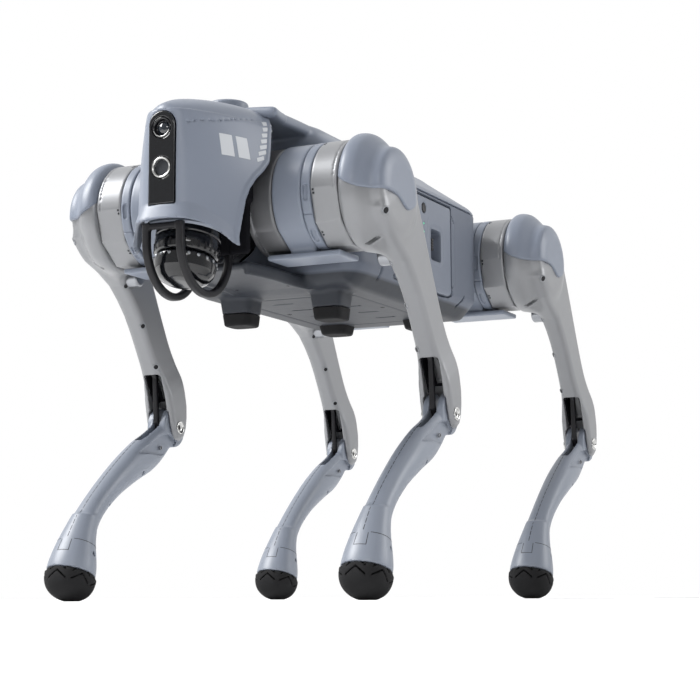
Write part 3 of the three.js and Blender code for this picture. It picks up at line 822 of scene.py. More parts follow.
def boot_field(x, y, z):
    """The rubber foot, in its own upright frame about the centre of its ball."""
    ball = (np.abs(x) ** 2.35 + np.abs(y) ** 2.35 + np.abs(z) ** 2.35) ** (1 / 2.35) - FOOT_R
    body = np.where(z > 0, np.hypot(x, y) - FOOT_R, ball)
    body = common(body, z - BOOT_TOP, 1.2)
    for turn in range(0, 360, 60):
        c, s = cos(radians(turn)), sin(radians(turn))
        around = (y * c - x * s)
        outward = x * c + y * s
        for level in (2.0, -5.0):
            bend = level + 3.4 - np.abs(around) * 0.75
            groove = meet(np.abs(z - bend) - 0.75, np.abs(around) - 8.6)
            body = cut(body, meet(groove, 18.6 - outward - 0.4 * np.abs(z)))
    return body


def build_leg_meshes(fine):
    """Every carved piece of one leg, as vertices and faces in its own frame."""
    return {
        "casing": surface_net(casing_field, (-49, -10, -54), (49, 62, 49), fine),
        "hub": surface_net(hub_field, (-48, -19, -49), (49, 11, 49), fine),
        "ring": surface_net(ring_field, (-49, 37, -49), (49, 48, 49), fine),
        "drum": surface_net(drum_field, (-49, 46, -49), (49, 73, 49), fine),
        "arm": surface_net(arm_field, (-51, 71, -232), (51, 115, 51), fine),
        "cap": surface_net(cap_field, (-54, 71, -40), (54, 113, 54), fine),
        "liner": surface_net(pocket_shade_field, (-19, LEG_MID - 10, -194), (-4, LEG_MID + 10, -156), 0.55),
        "rod": surface_net(rod_field, (-24, -4, -LINK - 7), (7, 4, 7), fine * 0.8),
        "calf": surface_net(calf_field, (-26, -24, -235), (46, 24, 20), fine),
        "boot": surface_net(boot_field, (-24, -25, -24), (24, 25, 15), fine * 0.8),
    }


def pin_frame(front, left):
    """The top of the knee rod, in the thigh's frame."""
    pin = Vector((front * HIP_X + PIN[0] - HIP_X, left * PIN[1], PIN[2]))
    return moved(*pin) @ scaled(y=left) @ pitched(THIGH_PITCH)


# ---- Trunk. Frame: origin at hip height between the hips ----

POD_HALF, POD_END = 94.8, 143.5
SPLIT_Z = 42
BATTERY_X, BATTERY_BACK, BATTERY_LOW, BATTERY_TOP = 66, -56, -50, 38
POD_SECTION = ((-1, 76), (34, 76), (86, 41), (POD_HALF - 9, 33), (POD_HALF - 9, -44), (74, -57), (-1, -57))
PORT_R = 43.5
BATTERY_ROOM = 1.2


def pod_field(x, y, z, less=0.0):
    ends = np.maximum(np.abs(x) - 112, 0) ** 2 * 0.0062
    across = polygon(np.abs(y), z + 0 * x, POD_SECTION) - 9 + less
    return common(across + ends, np.abs(x) - POD_END + less, 14.0)


def ports_field(x, y, z):
    return meet(np.hypot(np.abs(y) - HIP_Y, z) - PORT_R, 99 - np.abs(x))


def battery_box(x, y, z, grow=0.0):
    return brick(x, y, z, (-BATTERY_X - grow, BATTERY_BACK - grow, BATTERY_LOW - grow),
                 (BATTERY_X + grow, 130, BATTERY_TOP + grow), 3)


COVER = ((-1, 38.5), (60, 38.5), (74, 24), (74, -36), (56, -51), (20, -51), (0, -47.5), (-1, -47.5))


def side_details(x, y, z, body):
    """Channels round the side covers, vents and slots in the lower flanks."""
    depth = pod_field(x, y, z)
    outline = np.abs(polygon(np.abs(x), z, COVER)) - 0.55
    channel = meet(outline, -depth - 1.3, 60 - np.abs(y))
    body = cut(body, channel)
    for at_x, at_z, turn in ((66, -44.5, -48), (96, -50, 60)):
        c, s = cos(radians(turn)), sin(radians(turn))
        along = (np.abs(x) - at_x) * c + (z - at_z) * s
        over = (z - at_z) * c - (np.abs(x) - at_x) * s
        slot = np.hypot(np.maximum(np.abs(along) - 5.0, 0), over) - 1.3
        body = cut(body, meet(slot, -depth - 3, 50 - np.abs(y)))
    return body


def roof_top(x):
    return smooth_table(x, (-264, -246, -205, -140, 0, 90, 130, 180, 228),
                        (60, 70, 77.5, 80.5, 83, 83.5, 84.6, 84, 81.5))


def roof_half(x):
    return smooth_table(x, (-264, -250, -205, 150, 190, 228), (30, 36, 42, 43.5, 45, 55))


def roof_field(x, y, z):
    top = z - roof_top(x) + (y / 43) ** 2 * 2.0
    under = roof_top(x) - 12.5 - z
    body = common(common(top, under, 2.5), np.abs(y) - roof_half(x), 6.0)
    return common(body, slab(x, -262, 227), 5.0)


def tail_field(x, y, z):
    half = smooth_table(z, (-36, -20, 60), (27, 33, 36))
    plate = common(slab(x + smooth_table(z, (-36, 0, 50), (0, 1.5, 0)), -261, -252), np.abs(y) - half, 5.0)
    plate = common(plate, slab(z, -34, 62), 5.0)
    frame_line = np.abs(brick(x, y, z, (-400, -25, -26), (400, 25, 46), 5)) - 0.6
    plate = cut(plate, meet(frame_line, x + 259.8))
    for row in range(5):
        vent = np.hypot(np.maximum(np.abs(y) - 14, 0), z - 34 + row * 7) - 1.5
        plate = common(plate, -meet(vent, x + 257.0), 0.6)
    port = brick(x, y, z, (-400, -17, -20), (-257.2, 17, -8), 2.5)
    return common(plate, -port, 0.8)


def deck_field(x, y, z):
    plate = brick(x, y, z, (-70, -36, 78), (60, 36, 84.5), 2.2)
    for line in (-24, -12, 0, 12, 24):
        rib = np.hypot(np.maximum(np.abs(x + 5) - 54, 0), y - line) - 1.5
        plate = common(plate, -meet(rib, 83.2 - z), 0.5)
    return plate


def top_shell_field(x, y, z):
    pod = meet(pod_field(x, y, z), SPLIT_Z + 0.35 - z)
    crease = meet(np.abs(np.abs(y) * 0.56 + z - 92.0) - 0.45, -pod_field(x, y, z) - 1.0, np.abs(x) - 118)
    pod = cut(pod, crease)
    body = both(pod, roof_field(x, y, z), 5.0)
    body = both(body, tail_field(x, y, z), 3.0)
    body = both(body, deck_field(x, y, z), 1.0)
    return cut(body, ports_field(x, y, z), battery_box(x, y, z, BATTERY_ROOM))


PAD_PLACES = ((104, -92), (-100, -75))
TIP = 11.5


def pad_shape(x, y, z, at_x, bottom):
    t = np.clip((z - bottom) / (-54 - bottom), 0, 1.2)
    half = 13.5 + 4.8 * t
    shape = superellipse(x - at_x - 1.5 * t, np.abs(y) - HIP_Y, half, half, 4.2)
    return common(shape, slab(z, bottom, -48), 2.2)


def chest_field(x, y, z):
    half = smooth_table(x, (110, 140, 200, 236), (60, 39, 36, 30))
    plate = common(np.abs(y) - half, slab(z, -65 + smooth_table(x, (110, 170, 236), (0, 0, 2.5)), -56), 4.0)
    plate = common(plate, slab(x, 96, 236), 6.0)
    rail = common(np.abs(np.abs(y) - half + 3.2) - 2.6, slab(z, -67.3, -57), 2.2)
    rail = common(rail, slab(x, 132, 233), 3.0)
    return both(plate, rail, 2.0)


def belly_field(x, y, z):
    pod = meet(pod_field(x, y, z), z - SPLIT_Z + 0.35)
    body = both(pod, chest_field(x, y, z), 5.0)
    pan = np.abs(brick(x, y, z, (-92, -58, -100), (88, 58, -40), 14)) - 0.7
    body = cut(body, meet(pan, z + 65.0))
    for at_x in (-60, -20, 20, 60):
        slot = np.hypot(x - at_x, np.maximum(np.abs(np.abs(y) - 26) - 9, 0)) - 1.4
        body = cut(body, meet(slot, z + 62.5))
    for at_x, bottom in PAD_PLACES:
        body = both(body, meet(pad_shape(x, y, z, at_x, bottom), bottom + TIP - z), 3.0)
    body = side_details(x, y, z, body)
    return cut(body, ports_field(x, y, z), battery_box(x, y, z, BATTERY_ROOM))


RECESS_X, RECESS_W, RECESS_LOW, RECESS_TOP = 29, 12.5, -20, 10
LED_LEVELS = (12, 4, -4, -12)
BUTTON_Z = 27


def battery_field(x, y, z):
    body = common(battery_box(x, y, z, -0.2), pod_field(x, y, z, 0.4), 1.5)
    skin = pod_field(x, y, z, 0.4)
    for middle in (-RECESS_X, RECESS_X):
        well = brick(x, y, z, (middle - RECESS_W, 79, RECESS_LOW), (middle + RECESS_W, 130, RECESS_TOP), 4)
        body = common(body, -well, 1.6)
        frame_line = meet(np.abs(well - 2.6) - 0.5, -skin - 1.0)
        body = cut(body, frame_line)
    button = meet(np.hypot(x, z - BUTTON_Z) - 5.3, 90 - y)
    body = common(body, -button, 0.8)
    for level in LED_LEVELS:
        body = cut(body, meet(np.hypot(x, z - level) - 1.2, -skin - 1.2))
    rib = meet(np.abs(np.abs(x) - 8.5) - 0.5, slab(z, -21, 19), -skin - 0.7)
    return cut(body, rib)


# ---- Head ----

HEAD_BACK = 230
VISOR_HALF, VISOR_LOW, VISOR_TOP, VISOR_FACE = 12, -21, 45, 327.3
EYE_R, CAMERA_Z, LAMP_Z = 9, 43, 9.5
ARCH = ((100, 72), (216, 72), (224, 63), (231, 52), (237, 38), (243, 24), (252, 15.5), (262, 7), (270, -3),
        (275, -14), (278, -26), (282, -43), (286, -67), (286, -100), (100, -100))
HEAD_POWER = 1.58


def brim_edge(y):
    return smooth_table(np.abs(y), (0, 20, 30, 37, 43, 48, 54), (-33.5, -34.5, -36.5, -40, -46, -52, -54.5))


def brim_crease(y):
    return smooth_table(np.abs(y), (0, 24, 35, 43, 47, 54), (-20, -20.5, -27, -34, -42, -52))


def head_half(z):
    """Half the length ahead of the back of the cowl, and half the width, at a height."""
    return (smooth_table(z, (-60, 46, 60, 69, 75.5, 79.6), (104, 104, 98, 83, 60, 30)),
            smooth_table(z, (-60, -10, 20, 52, 60, 69, 75.5, 79.6), (64, 61, 58, 51, 48, 42, 33, 20)))


def head_plan(x, y, z, less=0.0):
    along, across = head_half(z)
    plan = superellipse(np.maximum(x - HEAD_BACK, 0), y, along - less, across - less, HEAD_POWER)
    plan = common(plan, x - VISOR_FACE + less, 7.0)
    return common(plan * np.interp(z, (45, 66, 80), (1.0, 0.72, 0.36)), z - 79.8 + less, 3.0)


def cheek(x, z):
    """The cowl's half width at a length and a height."""
    along, across = head_half(z)
    ahead = (np.maximum(x - HEAD_BACK, 0) / along) ** HEAD_POWER
    return across * np.maximum(0, 1 - ahead) ** (1 / HEAD_POWER)


def head_outer(x, y, z):
    """The cowl, with a band along its lower edge that flares outward."""
    return head_plan(x, y, z) - 0.28 * np.maximum(0, brim_crease(y) - z) * (x > 200)


def head_field(x, y, z):
    outer = head_outer(x, y, z)
    shell = common(outer, -(outer + 3.4), 0.8)
    arch = polygon(x, z + 0 * y, ARCH)
    lip = common(common(outer - 1.1, -(outer + 3.4), 0.8), np.abs(arch - 2.4) - 2.2, 1.4)
    shell = both(shell, lip, 1.6)
    shell = common(shell, -arch, 1.6)
    shell = common(shell, brim_edge(y) - z, 1.2)
    shell = common(shell, 208 - x, 1.0)
    slot = meet(np.hypot(y, np.maximum(z - VISOR_TOP, 0)) - VISOR_HALF - 0.45, VISOR_LOW - 0.45 - z)
    shell = common(shell, -meet(slot, 290 - x), 0.8)
    seam_level = smooth_table(x, (235, 269, 291, 309, 320), (64, 58, 53, 50, 47))
    seam = cut(np.abs(z - seam_level) - 0.42, outer + 1.0)
    return cut(shell, meet(seam, 15 - np.abs(y)))


def visor_field(x, y, z):
    slot = meet(np.hypot(y, np.maximum(z - VISOR_TOP, 0)) - VISOR_HALF, VISOR_LOW - z)
    plate = common(slot, slab(x, 316, VISOR_FACE), 1.2)
    for level in (CAMERA_Z, LAMP_Z):
        eye = meet(np.hypot(y, z - level) - EYE_R - 0.3, 300 - x)
        plate = common(plate, -eye, 0.8)
    return plate


# ---- Guard and ranging sensor ----

HOOP_X, HOOP_Y, HOOP_Z, HOOP_R, HOOP_BAR = 282, 16, -50, 40.5, 6.4
LIDAR_X, LIDAR_Z, LIDAR_TILT = 283, -47, 13


def hoop_field(x, y, z):
    low = np.hypot(x - HOOP_X, z - HOOP_Z) - HOOP_R
    side = np.abs(x - HOOP_X) - HOOP_R
    ring = np.abs(np.where(z < HOOP_Z, low, side)) - HOOP_BAR / 2
    body = common(ring, np.abs(np.abs(y) - HOOP_Y) - 3.1, 1.8)
    body = common(body, z + 35.5, 1.0)
    for end in (-1, 1):
        bar = brick(x, y, z, (HOOP_X + end * HOOP_R - 2.4, -HOOP_Y, -41),
                    (HOOP_X + end * HOOP_R + 2.4, HOOP_Y, -36), 1.5)
        body = both(body, bar, 2.0)
    return body


def core_field(x, y, z):
    """The bulkhead behind the sensor bay, in the near-black finish that paints the shade inside the head."""
    upper = brick(x, y, z, (242, -41, -8), (252, 41, 66), 3)
    lower = brick(x, y, z, (242, -38, -52), (248, 38, 5), 2.5)
    ribs = meet(np.abs(np.abs(y) - 20) - 0.8, 246.5 - x)
    return cut(both(upper, lower, 4.0), ribs)


def lidar_frame():
    return TRUNK @ moved(LIDAR_X, 0, LIDAR_Z) @ pitched(-LIDAR_TILT)


# ---- Building ----

FINE = 1.15
COARSE = 1.7


def build_leg(name, front, left, carved_meshes):
    hip = hip_frame(front, left)
    casing = casing_frame(front, left)
    thigh = thigh_frame(front, left)
    shin = calf_frame(front, left)
    hip_body, thigh_body, shin_body = f"{name}_hip", f"{name}_thigh", f"{name}_shin"

    def carved_piece(part, place, body, finish, *nodes):
        thing = mesh_object(f"{name}_{part}", *carved_meshes[part], place, 50.0)
        return piece(thing, body, finish, *nodes)

    carved_piece("casing", casing, hip_body, "shell", f"{name}_hip_housing")
    # The hub takes the darker copy of the cast silver, as painted shade.
    carved_piece("hub", casing, hip_body, "silver_shaded")
    carved_piece("ring", hip, hip_body, "shell", f"{name}_thigh_motor")
    carved_piece("drum", hip, thigh_body, "silver", f"{name}_calf_motor")
    carved_piece("arm", thigh, thigh_body, "silver", f"{name}_thigh_arm")
    carved_piece("cap", thigh, thigh_body, "shell", f"{name}_shoulder_cap")
    # The pocket's near-black lining is painted shade for the hollow above the knee.
    carved_piece("liner", thigh, thigh_body, "inside")
    carved_piece("calf", shin, shin_body, "calf", f"{name}_calf")
    carved_piece("boot", shin @ moved(z=-LINK) @ pitched(BOOT_PITCH), shin_body, "rubber", f"{name}_foot")
    carved_piece("rod", pin_frame(front, left), f"{name}_rod", "black", f"{name}_knee_rod")

    screw_set(f"{name}_hub_screws", hub_field, [(44, -14, -16, 2.6), (40, -14, 22, 2.6)], casing, hip_body,
              "steel")
    ring_spots = []
    for turn in (-4, -52, 62, 176, 232, 122):
        for offset in (-1.9, 1.9):
            angle = radians(turn + offset)
            ring_spots.append((48 * cos(angle), RING_OUT + 2.8, 48 * sin(angle), 1.25))
    screw_set(f"{name}_drum_screws", drum_field, ring_spots, hip, thigh_body, "steel")
    screw_set(f"{name}_root_screws", arm_field, [(35.3, 107.5, -2.9, 3.7)], thigh, thigh_body, "steel")
    screw_set(f"{name}_arm_screws", arm_field, [
        (7.5, 86.9, -61.2, 2.9), (-1.0, 87.6, -106, 2.9), (-2.0, 87.6, -149, 2.9)],
        thigh, thigh_body, "steel")

    boss = [(0, 74.6), (6.6, 74.6), (8.2, 76.2), (8.2, 86)]
    piece(turned(f"{name}_arm_boss", boss, thigh @ moved(x=-1, z=-58), radius=0.8), thigh_body, "steel")

    for flank, sign in (("outer", 1), ("inner", -1)):
        face = LEG_MID + sign * 15.4
        bolt = [(0, -1.3), (2.3, -1.3), (2.6, -0.5), (4.0, -0.3), (4.4, 0.5), (5.5, 1.2), (6.2, 0.9),
                (6.2, -2.0), (0, -2.0)]
        outline = [(r, sign * h) for r, h in bolt]
        thing = turned(f"{name}_knee_bolt_{flank}", outline if sign < 0 else outline[::-1],
                       thigh @ moved(y=face, z=-LINK), radius=0.5)
        nodes = (f"{name}_knee_axle",) if sign > 0 else ()
        piece(thing, thigh_body, "chrome", *nodes)
        # Painted shade: a thin black hexagon at the bottom of the bolt's recess stands for the dark of its
        # socket hole.
        well = [(0, -0.7), (2.2, -0.7), (2.2, -1.25), (0, -1.25)]
        outline = [(r, sign * h) for r, h in well]
        piece(turned(f"{name}_knee_socket_{flank}", outline if sign < 0 else outline[::-1],
                     thigh @ moved(y=face, z=-LINK), sides=6), thigh_body, "black")
    piece(tube(f"{name}_knee_pin", [(0, LEG_MID - 14, -LINK), (0, LEG_MID + 14, -LINK)], 4.5, thigh,
               sides=24),
          thigh_body, "steel")

    screw_set(f"{name}_calf_screws", calf_body, [(1.5, side * 10.5, -33, 1.9) for side in (-1, 1)], shin,
              shin_body, "steel")
    levels = np.linspace(40, 197, 60)
    bow, depth = smooth_table(levels, CALF_V, CALF_BOW), smooth_table(levels, CALF_V, CALF_DEPTH)
    crest = np.stack([bow + depth, np.zeros(60), -levels], 1)
    paths = dashes(crest, 5.2, 1.6)
    axis = np.array([BOOT_SIN, 0, BOOT_COS])
    across = np.array([BOOT_COS, 0, -BOOT_SIN])
    middle = np.array([0, 0, -LINK])
    turns = np.radians(np.linspace(22, 338, 44))
    hem = middle + 30 * axis + 22 * (np.cos(turns)[:, None] * across + np.sin(turns)[:, None] * [0, 1, 0])
    paths.append(hem)
    for side in (-1, 1):
        reach = np.linspace(30, 18, 5)[:, None]
        paths.append(middle + reach * axis + 24 * across + [0, side * 6.5, 0])
    paths.append(middle + 18 * axis + 24 * across + np.linspace(-6.5, 6.5, 6)[:, None] * [0, 1, 0])
    seam_set(f"{name}_calf_seams", calf_body, paths, shin, shin_body)


def build_trunk():
    shell = carved("upper_trunk", top_shell_field, (-264, -98, -38), (229, 98, 90), COARSE)
    piece(shell, "trunk", "shell", "top_shell")
    belly = carved("lower_trunk", belly_field, (-146, -98, -94), (238, 98, 44), COARSE)
    piece(belly, "trunk", "belly", "belly_shell")
    for label, (at_x, bottom) in zip(("front", "rear"), PAD_PLACES):
        def tips(x, y, z):
            return common(pad_shape(x, y, z, at_x, bottom), z - bottom - TIP + 0.5, 0.6)
        for flank, low, high in (("left", 20, 72), ("right", -72, -20)):
            tip = carved(f"{label}_{flank}_pad_tip", tips, (at_x - 20, low, bottom - 1),
                         (at_x + 22, high, bottom + 14), 1.2)
            piece(tip, "trunk", "rubber")
    pack = carved("battery_case", battery_field, (-67, -57, -51), (67, 97, 39), COARSE * 0.85)
    piece(pack, "battery", "shell_dark", "battery_pack")
    for label, side in (("front", 1), ("rear", -1)):
        grip = carved(f"catch_{label}", lambda x, y, z: catch_field(x, y, z, side),
                      (side * 16 - 14, 82, -13), (side * 16 + 14, 98, 4), 0.8)
        piece(grip, f"latch_{label}", "black", f"battery_latch_{label}")
    button = [(0, 89), (4.5, 89), (4.5, 93.9), (3.9, 94.6), (2.4, 94.3), (0, 94.1)]
    piece(turned("power_key", button, TRUNK @ moved(z=BUTTON_Z), radius=0.4), "button", "black",
          "power_button")
    lights = Bundle()
    for level in LED_LEVELS:
        points, faces = lathed([(1.0, 92.6), (1.0, 93.9), (0.7, 94.2), (0, 94.3)], 16)
        lights.add(points + [0, 0, level], faces)
    lights.made("charge_lights", TRUNK, "battery", "led")
    dome = [(0, 81), (18.2, 81), (18.2, 86.8), (17.5, 88.5), (15.8, 89.5), (12, 89.9), (0, 90)]
    thing = turned("antenna_cover", dome, TRUNK @ moved(x=215), axis="z", sides=96, radius=1.0)
    piece(thing, "trunk", "shell", "antenna_dome")
    fasteners = [(x, side * 30, 84, 2.4) for x in (-62, 52) for side in (-1, 1)]
    screw_set("deck_screws", deck_field, fasteners, TRUNK, "trunk", "steel")
    pan_spots = [(x, side * 50, -66, 2.2) for x in (-84, 0, 80) for side in (-1, 1)]
    chest_spots = [(x, side * 26, -66, 2.0) for x in (150, 210) for side in (-1, 1)]
    screw_set("belly_screws", belly_field, pan_spots + chest_spots, TRUNK, "trunk", "black")
    screw_set("tail_screws", tail_field, [(-262, side * 26, z, 2.2) for z in (-22, 50) for side in (-1, 1)],
              TRUNK, "trunk", "steel")


def catch_field(x, y, z, side):
    tongue = brick(x, y, z, (side * 18 - 8, 85.0, -10.5), (side * 18 + 8, 91.0, 1.5), 1.0)
    grip = brick(x, y, z, (side * 23.7 - 2.3, 85.0, -10.5), (side * 23.7 + 2.3, 93.0, 1.5), 1.0)
    body = both(tongue, grip, 1.0)
    for level in (-7, -4.5, -2):
        body = np.maximum(body, -np.maximum(np.abs(z - level) - 0.4, 92.2 - y))
    return body


def build_head():
    piece(carved("head_cowl", head_field, (207, -68, -68), (333, 68, 84), 1.3), "trunk", "shell",
          "head_shell")
    piece(carved("visor_plate", visor_field, (315, -13, -22), (328, 13, 58), 0.8), "trunk", "gloss",
          "visor_panel")
    liner = [(0, 310), (EYE_R - 0.1, 310), (EYE_R - 0.1, 326.7), (7.9, 327.2), (7.0, 326.3), (6.2, 323.5),
             (0, 323.4)]
    camera = TRUNK @ moved(z=CAMERA_Z)
    piece(turned("camera_barrel", liner, camera, axis="x", radius=0.5), "trunk", "gloss", "camera_lens")
    piece(turned("camera_front_glass", [(6.1, 323.2), (5.0, 324.4), (3.0, 325.4), (0, 325.9)], camera,
                 axis="x"),
          "trunk", "lens")
    # Painted highlight: a short arc of bright chrome along the lower lens rim stands for a glint.
    glint = arc((0, 0), 7.6, 200, 340, 24, 327.1, "yz")
    piece(tube("camera_glint_arc", glint, 0.45, camera), "trunk", "chrome")
    lamp = TRUNK @ moved(z=LAMP_Z)
    rim = [(6.2, 318), (EYE_R - 0.1, 318), (EYE_R - 0.1, 327.2), (8.2, 328.0), (7.2, 327.6), (6.6, 325.5),
           (6.2, 321)]
    piece(turned("lamp_rim", rim, lamp, axis="x", radius=0.6), "trunk", "chrome", "headlight")
    bowl = [(6.3, 325.0), (5.4, 321.5), (3.2, 319.0), (1.7, 318.4), (0, 318.4)]
    piece(turned("lamp_reflector", bowl, lamp, axis="x"), "trunk", "motor")
    piece(turned("lamp_emitter", [(0, 318.0), (2.6, 318.0), (2.6, 321.2), (1.7, 322.8), (0, 323.4)], lamp,
                 axis="x"),
          "trunk", "lamp")
    collar = [(2.9, 318.2), (4.3, 318.8), (4.5, 321.5), (4.0, 322.0), (3.3, 320.6)]
    piece(turned("lamp_collar", collar, lamp, axis="x"), "trunk", "brass")
    build_decals()


def patch(field, corners, columns=10, rows=5, lift=0.18):
    """A thin slab that hugs a surface, over the quadrilateral between four corners."""
    a, b, c, d = (np.array(corner, float) for corner in corners)
    grid = [(1 - v) * ((1 - u) * a + u * b) + v * ((1 - u) * d + u * c)
            for v in np.linspace(0, 1, rows + 1) for u in np.linspace(0, 1, columns + 1)]
    below = on_surface(field, grid, 4.0)
    normal = normals(field, below)
    points = np.concatenate([below + normal * lift, below - normal * 0.8])
    size = (columns + 1) * (rows + 1)
    faces = []
    for j in range(rows):
        for i in range(columns):
            k = j * (columns + 1) + i
            quad = (k, k + 1, k + columns + 2, k + columns + 1)
            faces.append(quad)
            faces.append(tuple(size + n for n in quad[::-1]))
    edge = [i for i in range(columns + 1)]
    edge += [j * (columns + 1) + columns for j in range(1, rows + 1)]
    edge += [rows * (columns + 1) + i for i in range(columns - 1, -1, -1)]
    edge += [j * (columns + 1) for j in range(rows - 1, 0, -1)]
    for p, q in zip(edge, edge[1:] + edge[:1]):
        faces.append((q, p, size + p, size + q))
    return points, faces


def build_decals():
    """Plain pale blocks and slanted bars on both sides of the head, in place of any lettering."""
    for flank, left in (("left", 1), ("right", -1)):
        marks = Bundle()

        def quad(x0, x1, z0, z1, rise=0.0):
            outline = ((x0, z0 + rise), (x1, z0), (x1, z1), (x0, z1 + rise))
            corners = [(x, left * cheek(x, z), z) for x, z in outline]
            points, faces = patch(head_outer, corners)
            marks.add(points, faces if left < 0 else [face[::-1] for face in faces])

        for start in (266.5, 282.5):
            quad(start, start + 12, 23, 41.5)
        for step in range(7):
            level = 22.5 + step * 6.0
            quad(249.5 - step * 4.6, 258.5 - step * 3.2, level, level + 3.4, 3.4)
        marks.made(f"{flank}_marking", TRUNK, "trunk", "decal")


def build_guard_and_sensor():
    piece(carved("sensor_hoops", hoop_field, (235, -21, -96), (329, 21, -34), 0.9), "trunk", "black",
          "lidar_guard")
    turns = np.radians(np.linspace(-50, 50, 61))
    ahead = np.cos(turns) ** (2 / HEAD_POWER)
    across = 57 * np.sign(turns) * np.abs(np.sin(turns)) ** (2 / HEAD_POWER)
    rim = np.stack([np.minimum(HEAD_BACK + 97 * ahead, 321), across, brim_edge(across) - 0.4], 1)
    section = [(-1.3, -1.6), (1.3, -1.6), (1.3, 1.6), (-1.3, 1.6)]
    piece(mesh_object("sensor_rim", *swept(rim, section), TRUNK), "trunk", "calf")
    # The bulkhead takes the near-black finish as painted shade for the inside of the head.
    piece(carved("head_core", core_field, (240, -43, -54), (254, 43, 68), 1.4), "trunk", "inside")
    place = lidar_frame()
    body = [(0, 16), (21, 16), (25.6, 12), (27.8, 8.5), (27.8, 3.0), (27.0, 2.4), (27.0, 1.2), (27.8, 0.6),
            (27.8, -8.5), (26.6, -12.6), (24.4, -13.8), (0, -13.8)]
    piece(turned("sensor_housing", body, place, axis="z", sides=96, radius=1.2), "trunk", "gloss",
          "lidar_body")
    cup = [(0, -14.2), (23.6, -14.2), (26.6, -15.8), (26.6, -20), (25.2, -27), (21.5, -32), (16, -35.2),
           (9, -36.4), (0, -36.6)]
    piece(turned("sensor_window", cup, place, axis="z", sides=96, radius=1.4), "lidar_head", "gloss",
          "lidar_rotor")
    studs = Bundle()
    for step in range(20):
        points, faces = lathed([(0, 25.6), (1.5, 25.6), (1.5, 27.1), (0.8, 27.6), (0, 27.6)], 8, "x")
        turn = np.array(Matrix.Rotation(2 * pi * step / 20, 3, "Z"))
        studs.add(points @ turn.T + [0, 0, -18], faces)
    studs.made("sensor_studs", place, "lidar_head", "steel")
    fins = Bundle()
    for step in range(28):
        block = [(24.0, -1.0, -5.4), (28.1, -1.0, -5.4), (28.1, 1.0, -5.4), (24.0, 1.0, -5.4),
                 (24.0, -1.0, -11.6), (27.4, -1.0, -11.6), (27.4, 1.0, -11.6), (24.0, 1.0, -11.6)]
        turn = np.array(Matrix.Rotation(2 * pi * step / 28, 3, "Z"))
        faces = [(0, 1, 2, 3), (7, 6, 5, 4), (1, 0, 4, 5), (2, 1, 5, 6), (3, 2, 6, 7), (0, 3, 7, 4)]
        fins.add(np.array(block) @ turn.T, faces)
    fins.made("sensor_fins", place, "trunk", "black")


def finish_hidden_nodes():
    """Procedural finishes for the CAD nodes that stay: the motors, cranks, frame and board."""
    finishes = {"chassis_frame": "motor", "main_board": "board"}
    for name, _, _ in LEGS:
        finishes[f"{name}_abduction_motor"] = "motor"
        finishes[f"{name}_knee_crank"] = "steel"
    for node, finish in finishes.items():
        thing = frame["nodes"][node]
        thing.data.materials.clear()
        thing.data.materials.append(M[finish])


# ---- Camera, floor and light ----

CAMERA_AT = (1.6368, 0.7921, HIP_Z * MM - 0.3397)
CAMERA_YAW, CAMERA_PITCH, CAMERA_ROLL = 205.39, 7.38, -0.33
CAMERA_LENS = 97.6


def place_camera():
    position = Vector(CAMERA_AT)
    yaw, pitch, roll = (radians(angle) for angle in (CAMERA_YAW, CAMERA_PITCH, CAMERA_ROLL))
    forward = Vector((cos(pitch) * cos(yaw), cos(pitch) * sin(yaw), sin(pitch)))
    level = Vector((sin(yaw), -cos(yaw), 0))
    upright = level.cross(forward)
    right = level * cos(roll) + upright * sin(roll)
    up = upright * cos(roll) - level * sin(roll)
    camera = bpy.data.objects.new("view_camera", bpy.data.cameras.new("view_camera"))
    camera.matrix_world = Matrix.Translation(position) @ Matrix((right, up, -forward)).transposed().to_4x4()
    camera.data.sensor_width = 36
    camera.data.lens = CAMERA_LENS
    camera.data.clip_start = 0.01
    camera.data.clip_end = 50
    bpy.context.scene.collection.objects.link(camera)
    bpy.context.scene.camera = camera


def plain(name, colour, roughness=0.9):
    made = bpy.data.materials.new(name)
    made.use_nodes = True
    shader = made.node_tree.nodes["Principled BSDF"]
    shader.inputs["Base Color"].default_value = (*colour, 1)
    shader.inputs["Roughness"].default_value = roughness
    shader.inputs["Specular IOR Level"].default_value = 0.1
    return made


FLOOR_HALF = 2.4


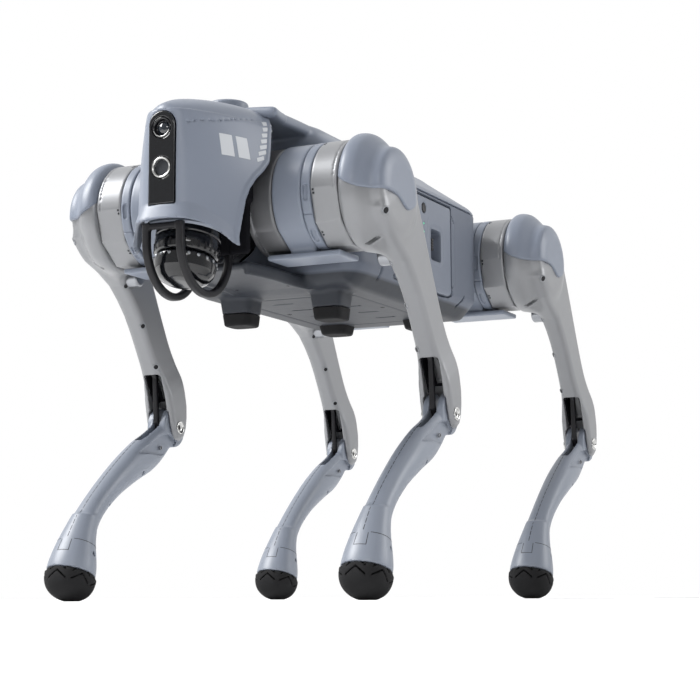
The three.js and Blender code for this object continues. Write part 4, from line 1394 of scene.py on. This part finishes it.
def build_studio():
    size = FLOOR_HALF
    data = bpy.data.meshes.new("studio_floor")
    data.from_pydata([(-size, -size, 0), (size, -size, 0), (size, size, 0), (-size, size, 0)], [],
                     [(0, 1, 2, 3)])
    floor = bpy.data.objects.new("studio_floor", data)
    data.materials.append(plain("floor_white", (0.93, 0.93, 0.93)))
    bpy.context.scene.collection.objects.link(floor)
    floor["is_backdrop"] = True
    world = bpy.data.worlds.new("studio")
    world.use_nodes = True
    nodes, links = world.node_tree.nodes, world.node_tree.links
    aim = nodes.new("ShaderNodeVectorMath")
    aim.operation = "DOT_PRODUCT"
    aim.inputs[1].default_value = (-0.86, -0.51, 0.06)
    links.new(nodes.new("ShaderNodeTexCoord").outputs["Generated"], aim.inputs[0])
    fade = spread(world.node_tree, aim.outputs["Value"], (-0.55, 0.75), (0.42, 1.0), "SMOOTHSTEP")
    links.new(fade, nodes["Background"].inputs["Strength"])
    nodes["Background"].inputs["Color"].default_value = (1, 1, 1, 1)
    bpy.context.scene.world = world
    bpy.context.scene.view_settings.view_transform = "Standard"

    def softbox(name, place, target, width, height, power):
        light = bpy.data.lights.new(name, "AREA")
        light.shape, light.size, light.size_y, light.energy = "RECTANGLE", width, height, power
        thing = bpy.data.objects.new(name, light)
        thing.location = place
        thing.rotation_euler = (Vector(target) - Vector(place)).to_track_quat("-Z", "Y").to_euler()
        bpy.context.scene.collection.objects.link(thing)

    softbox("key_softbox", (1.1, -1.9, 2.2), (0, 0, 0.25), 1.3, 1.3, 105)
    softbox("rear_softbox", (-1.3, 2.3, 1.3), (0, 0, 0.3), 1.3, 1.3, 26)
    softbox("floor_softbox", (1.7, 0.8, 1.0), (1.7, 0.8, 0), 0.7, 0.7, 11)


place_camera()
build_studio()
LEG_MESHES = build_leg_meshes(FINE)
for leg_name, leg_front, leg_left in LEGS:
    build_leg(leg_name, leg_front, leg_left, LEG_MESHES)
build_trunk()
build_head()
build_guard_and_sensor()
finish_hidden_nodes()

{"cad": [list(corner) for corner in cad_box], "visual": [list(corner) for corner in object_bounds()]}
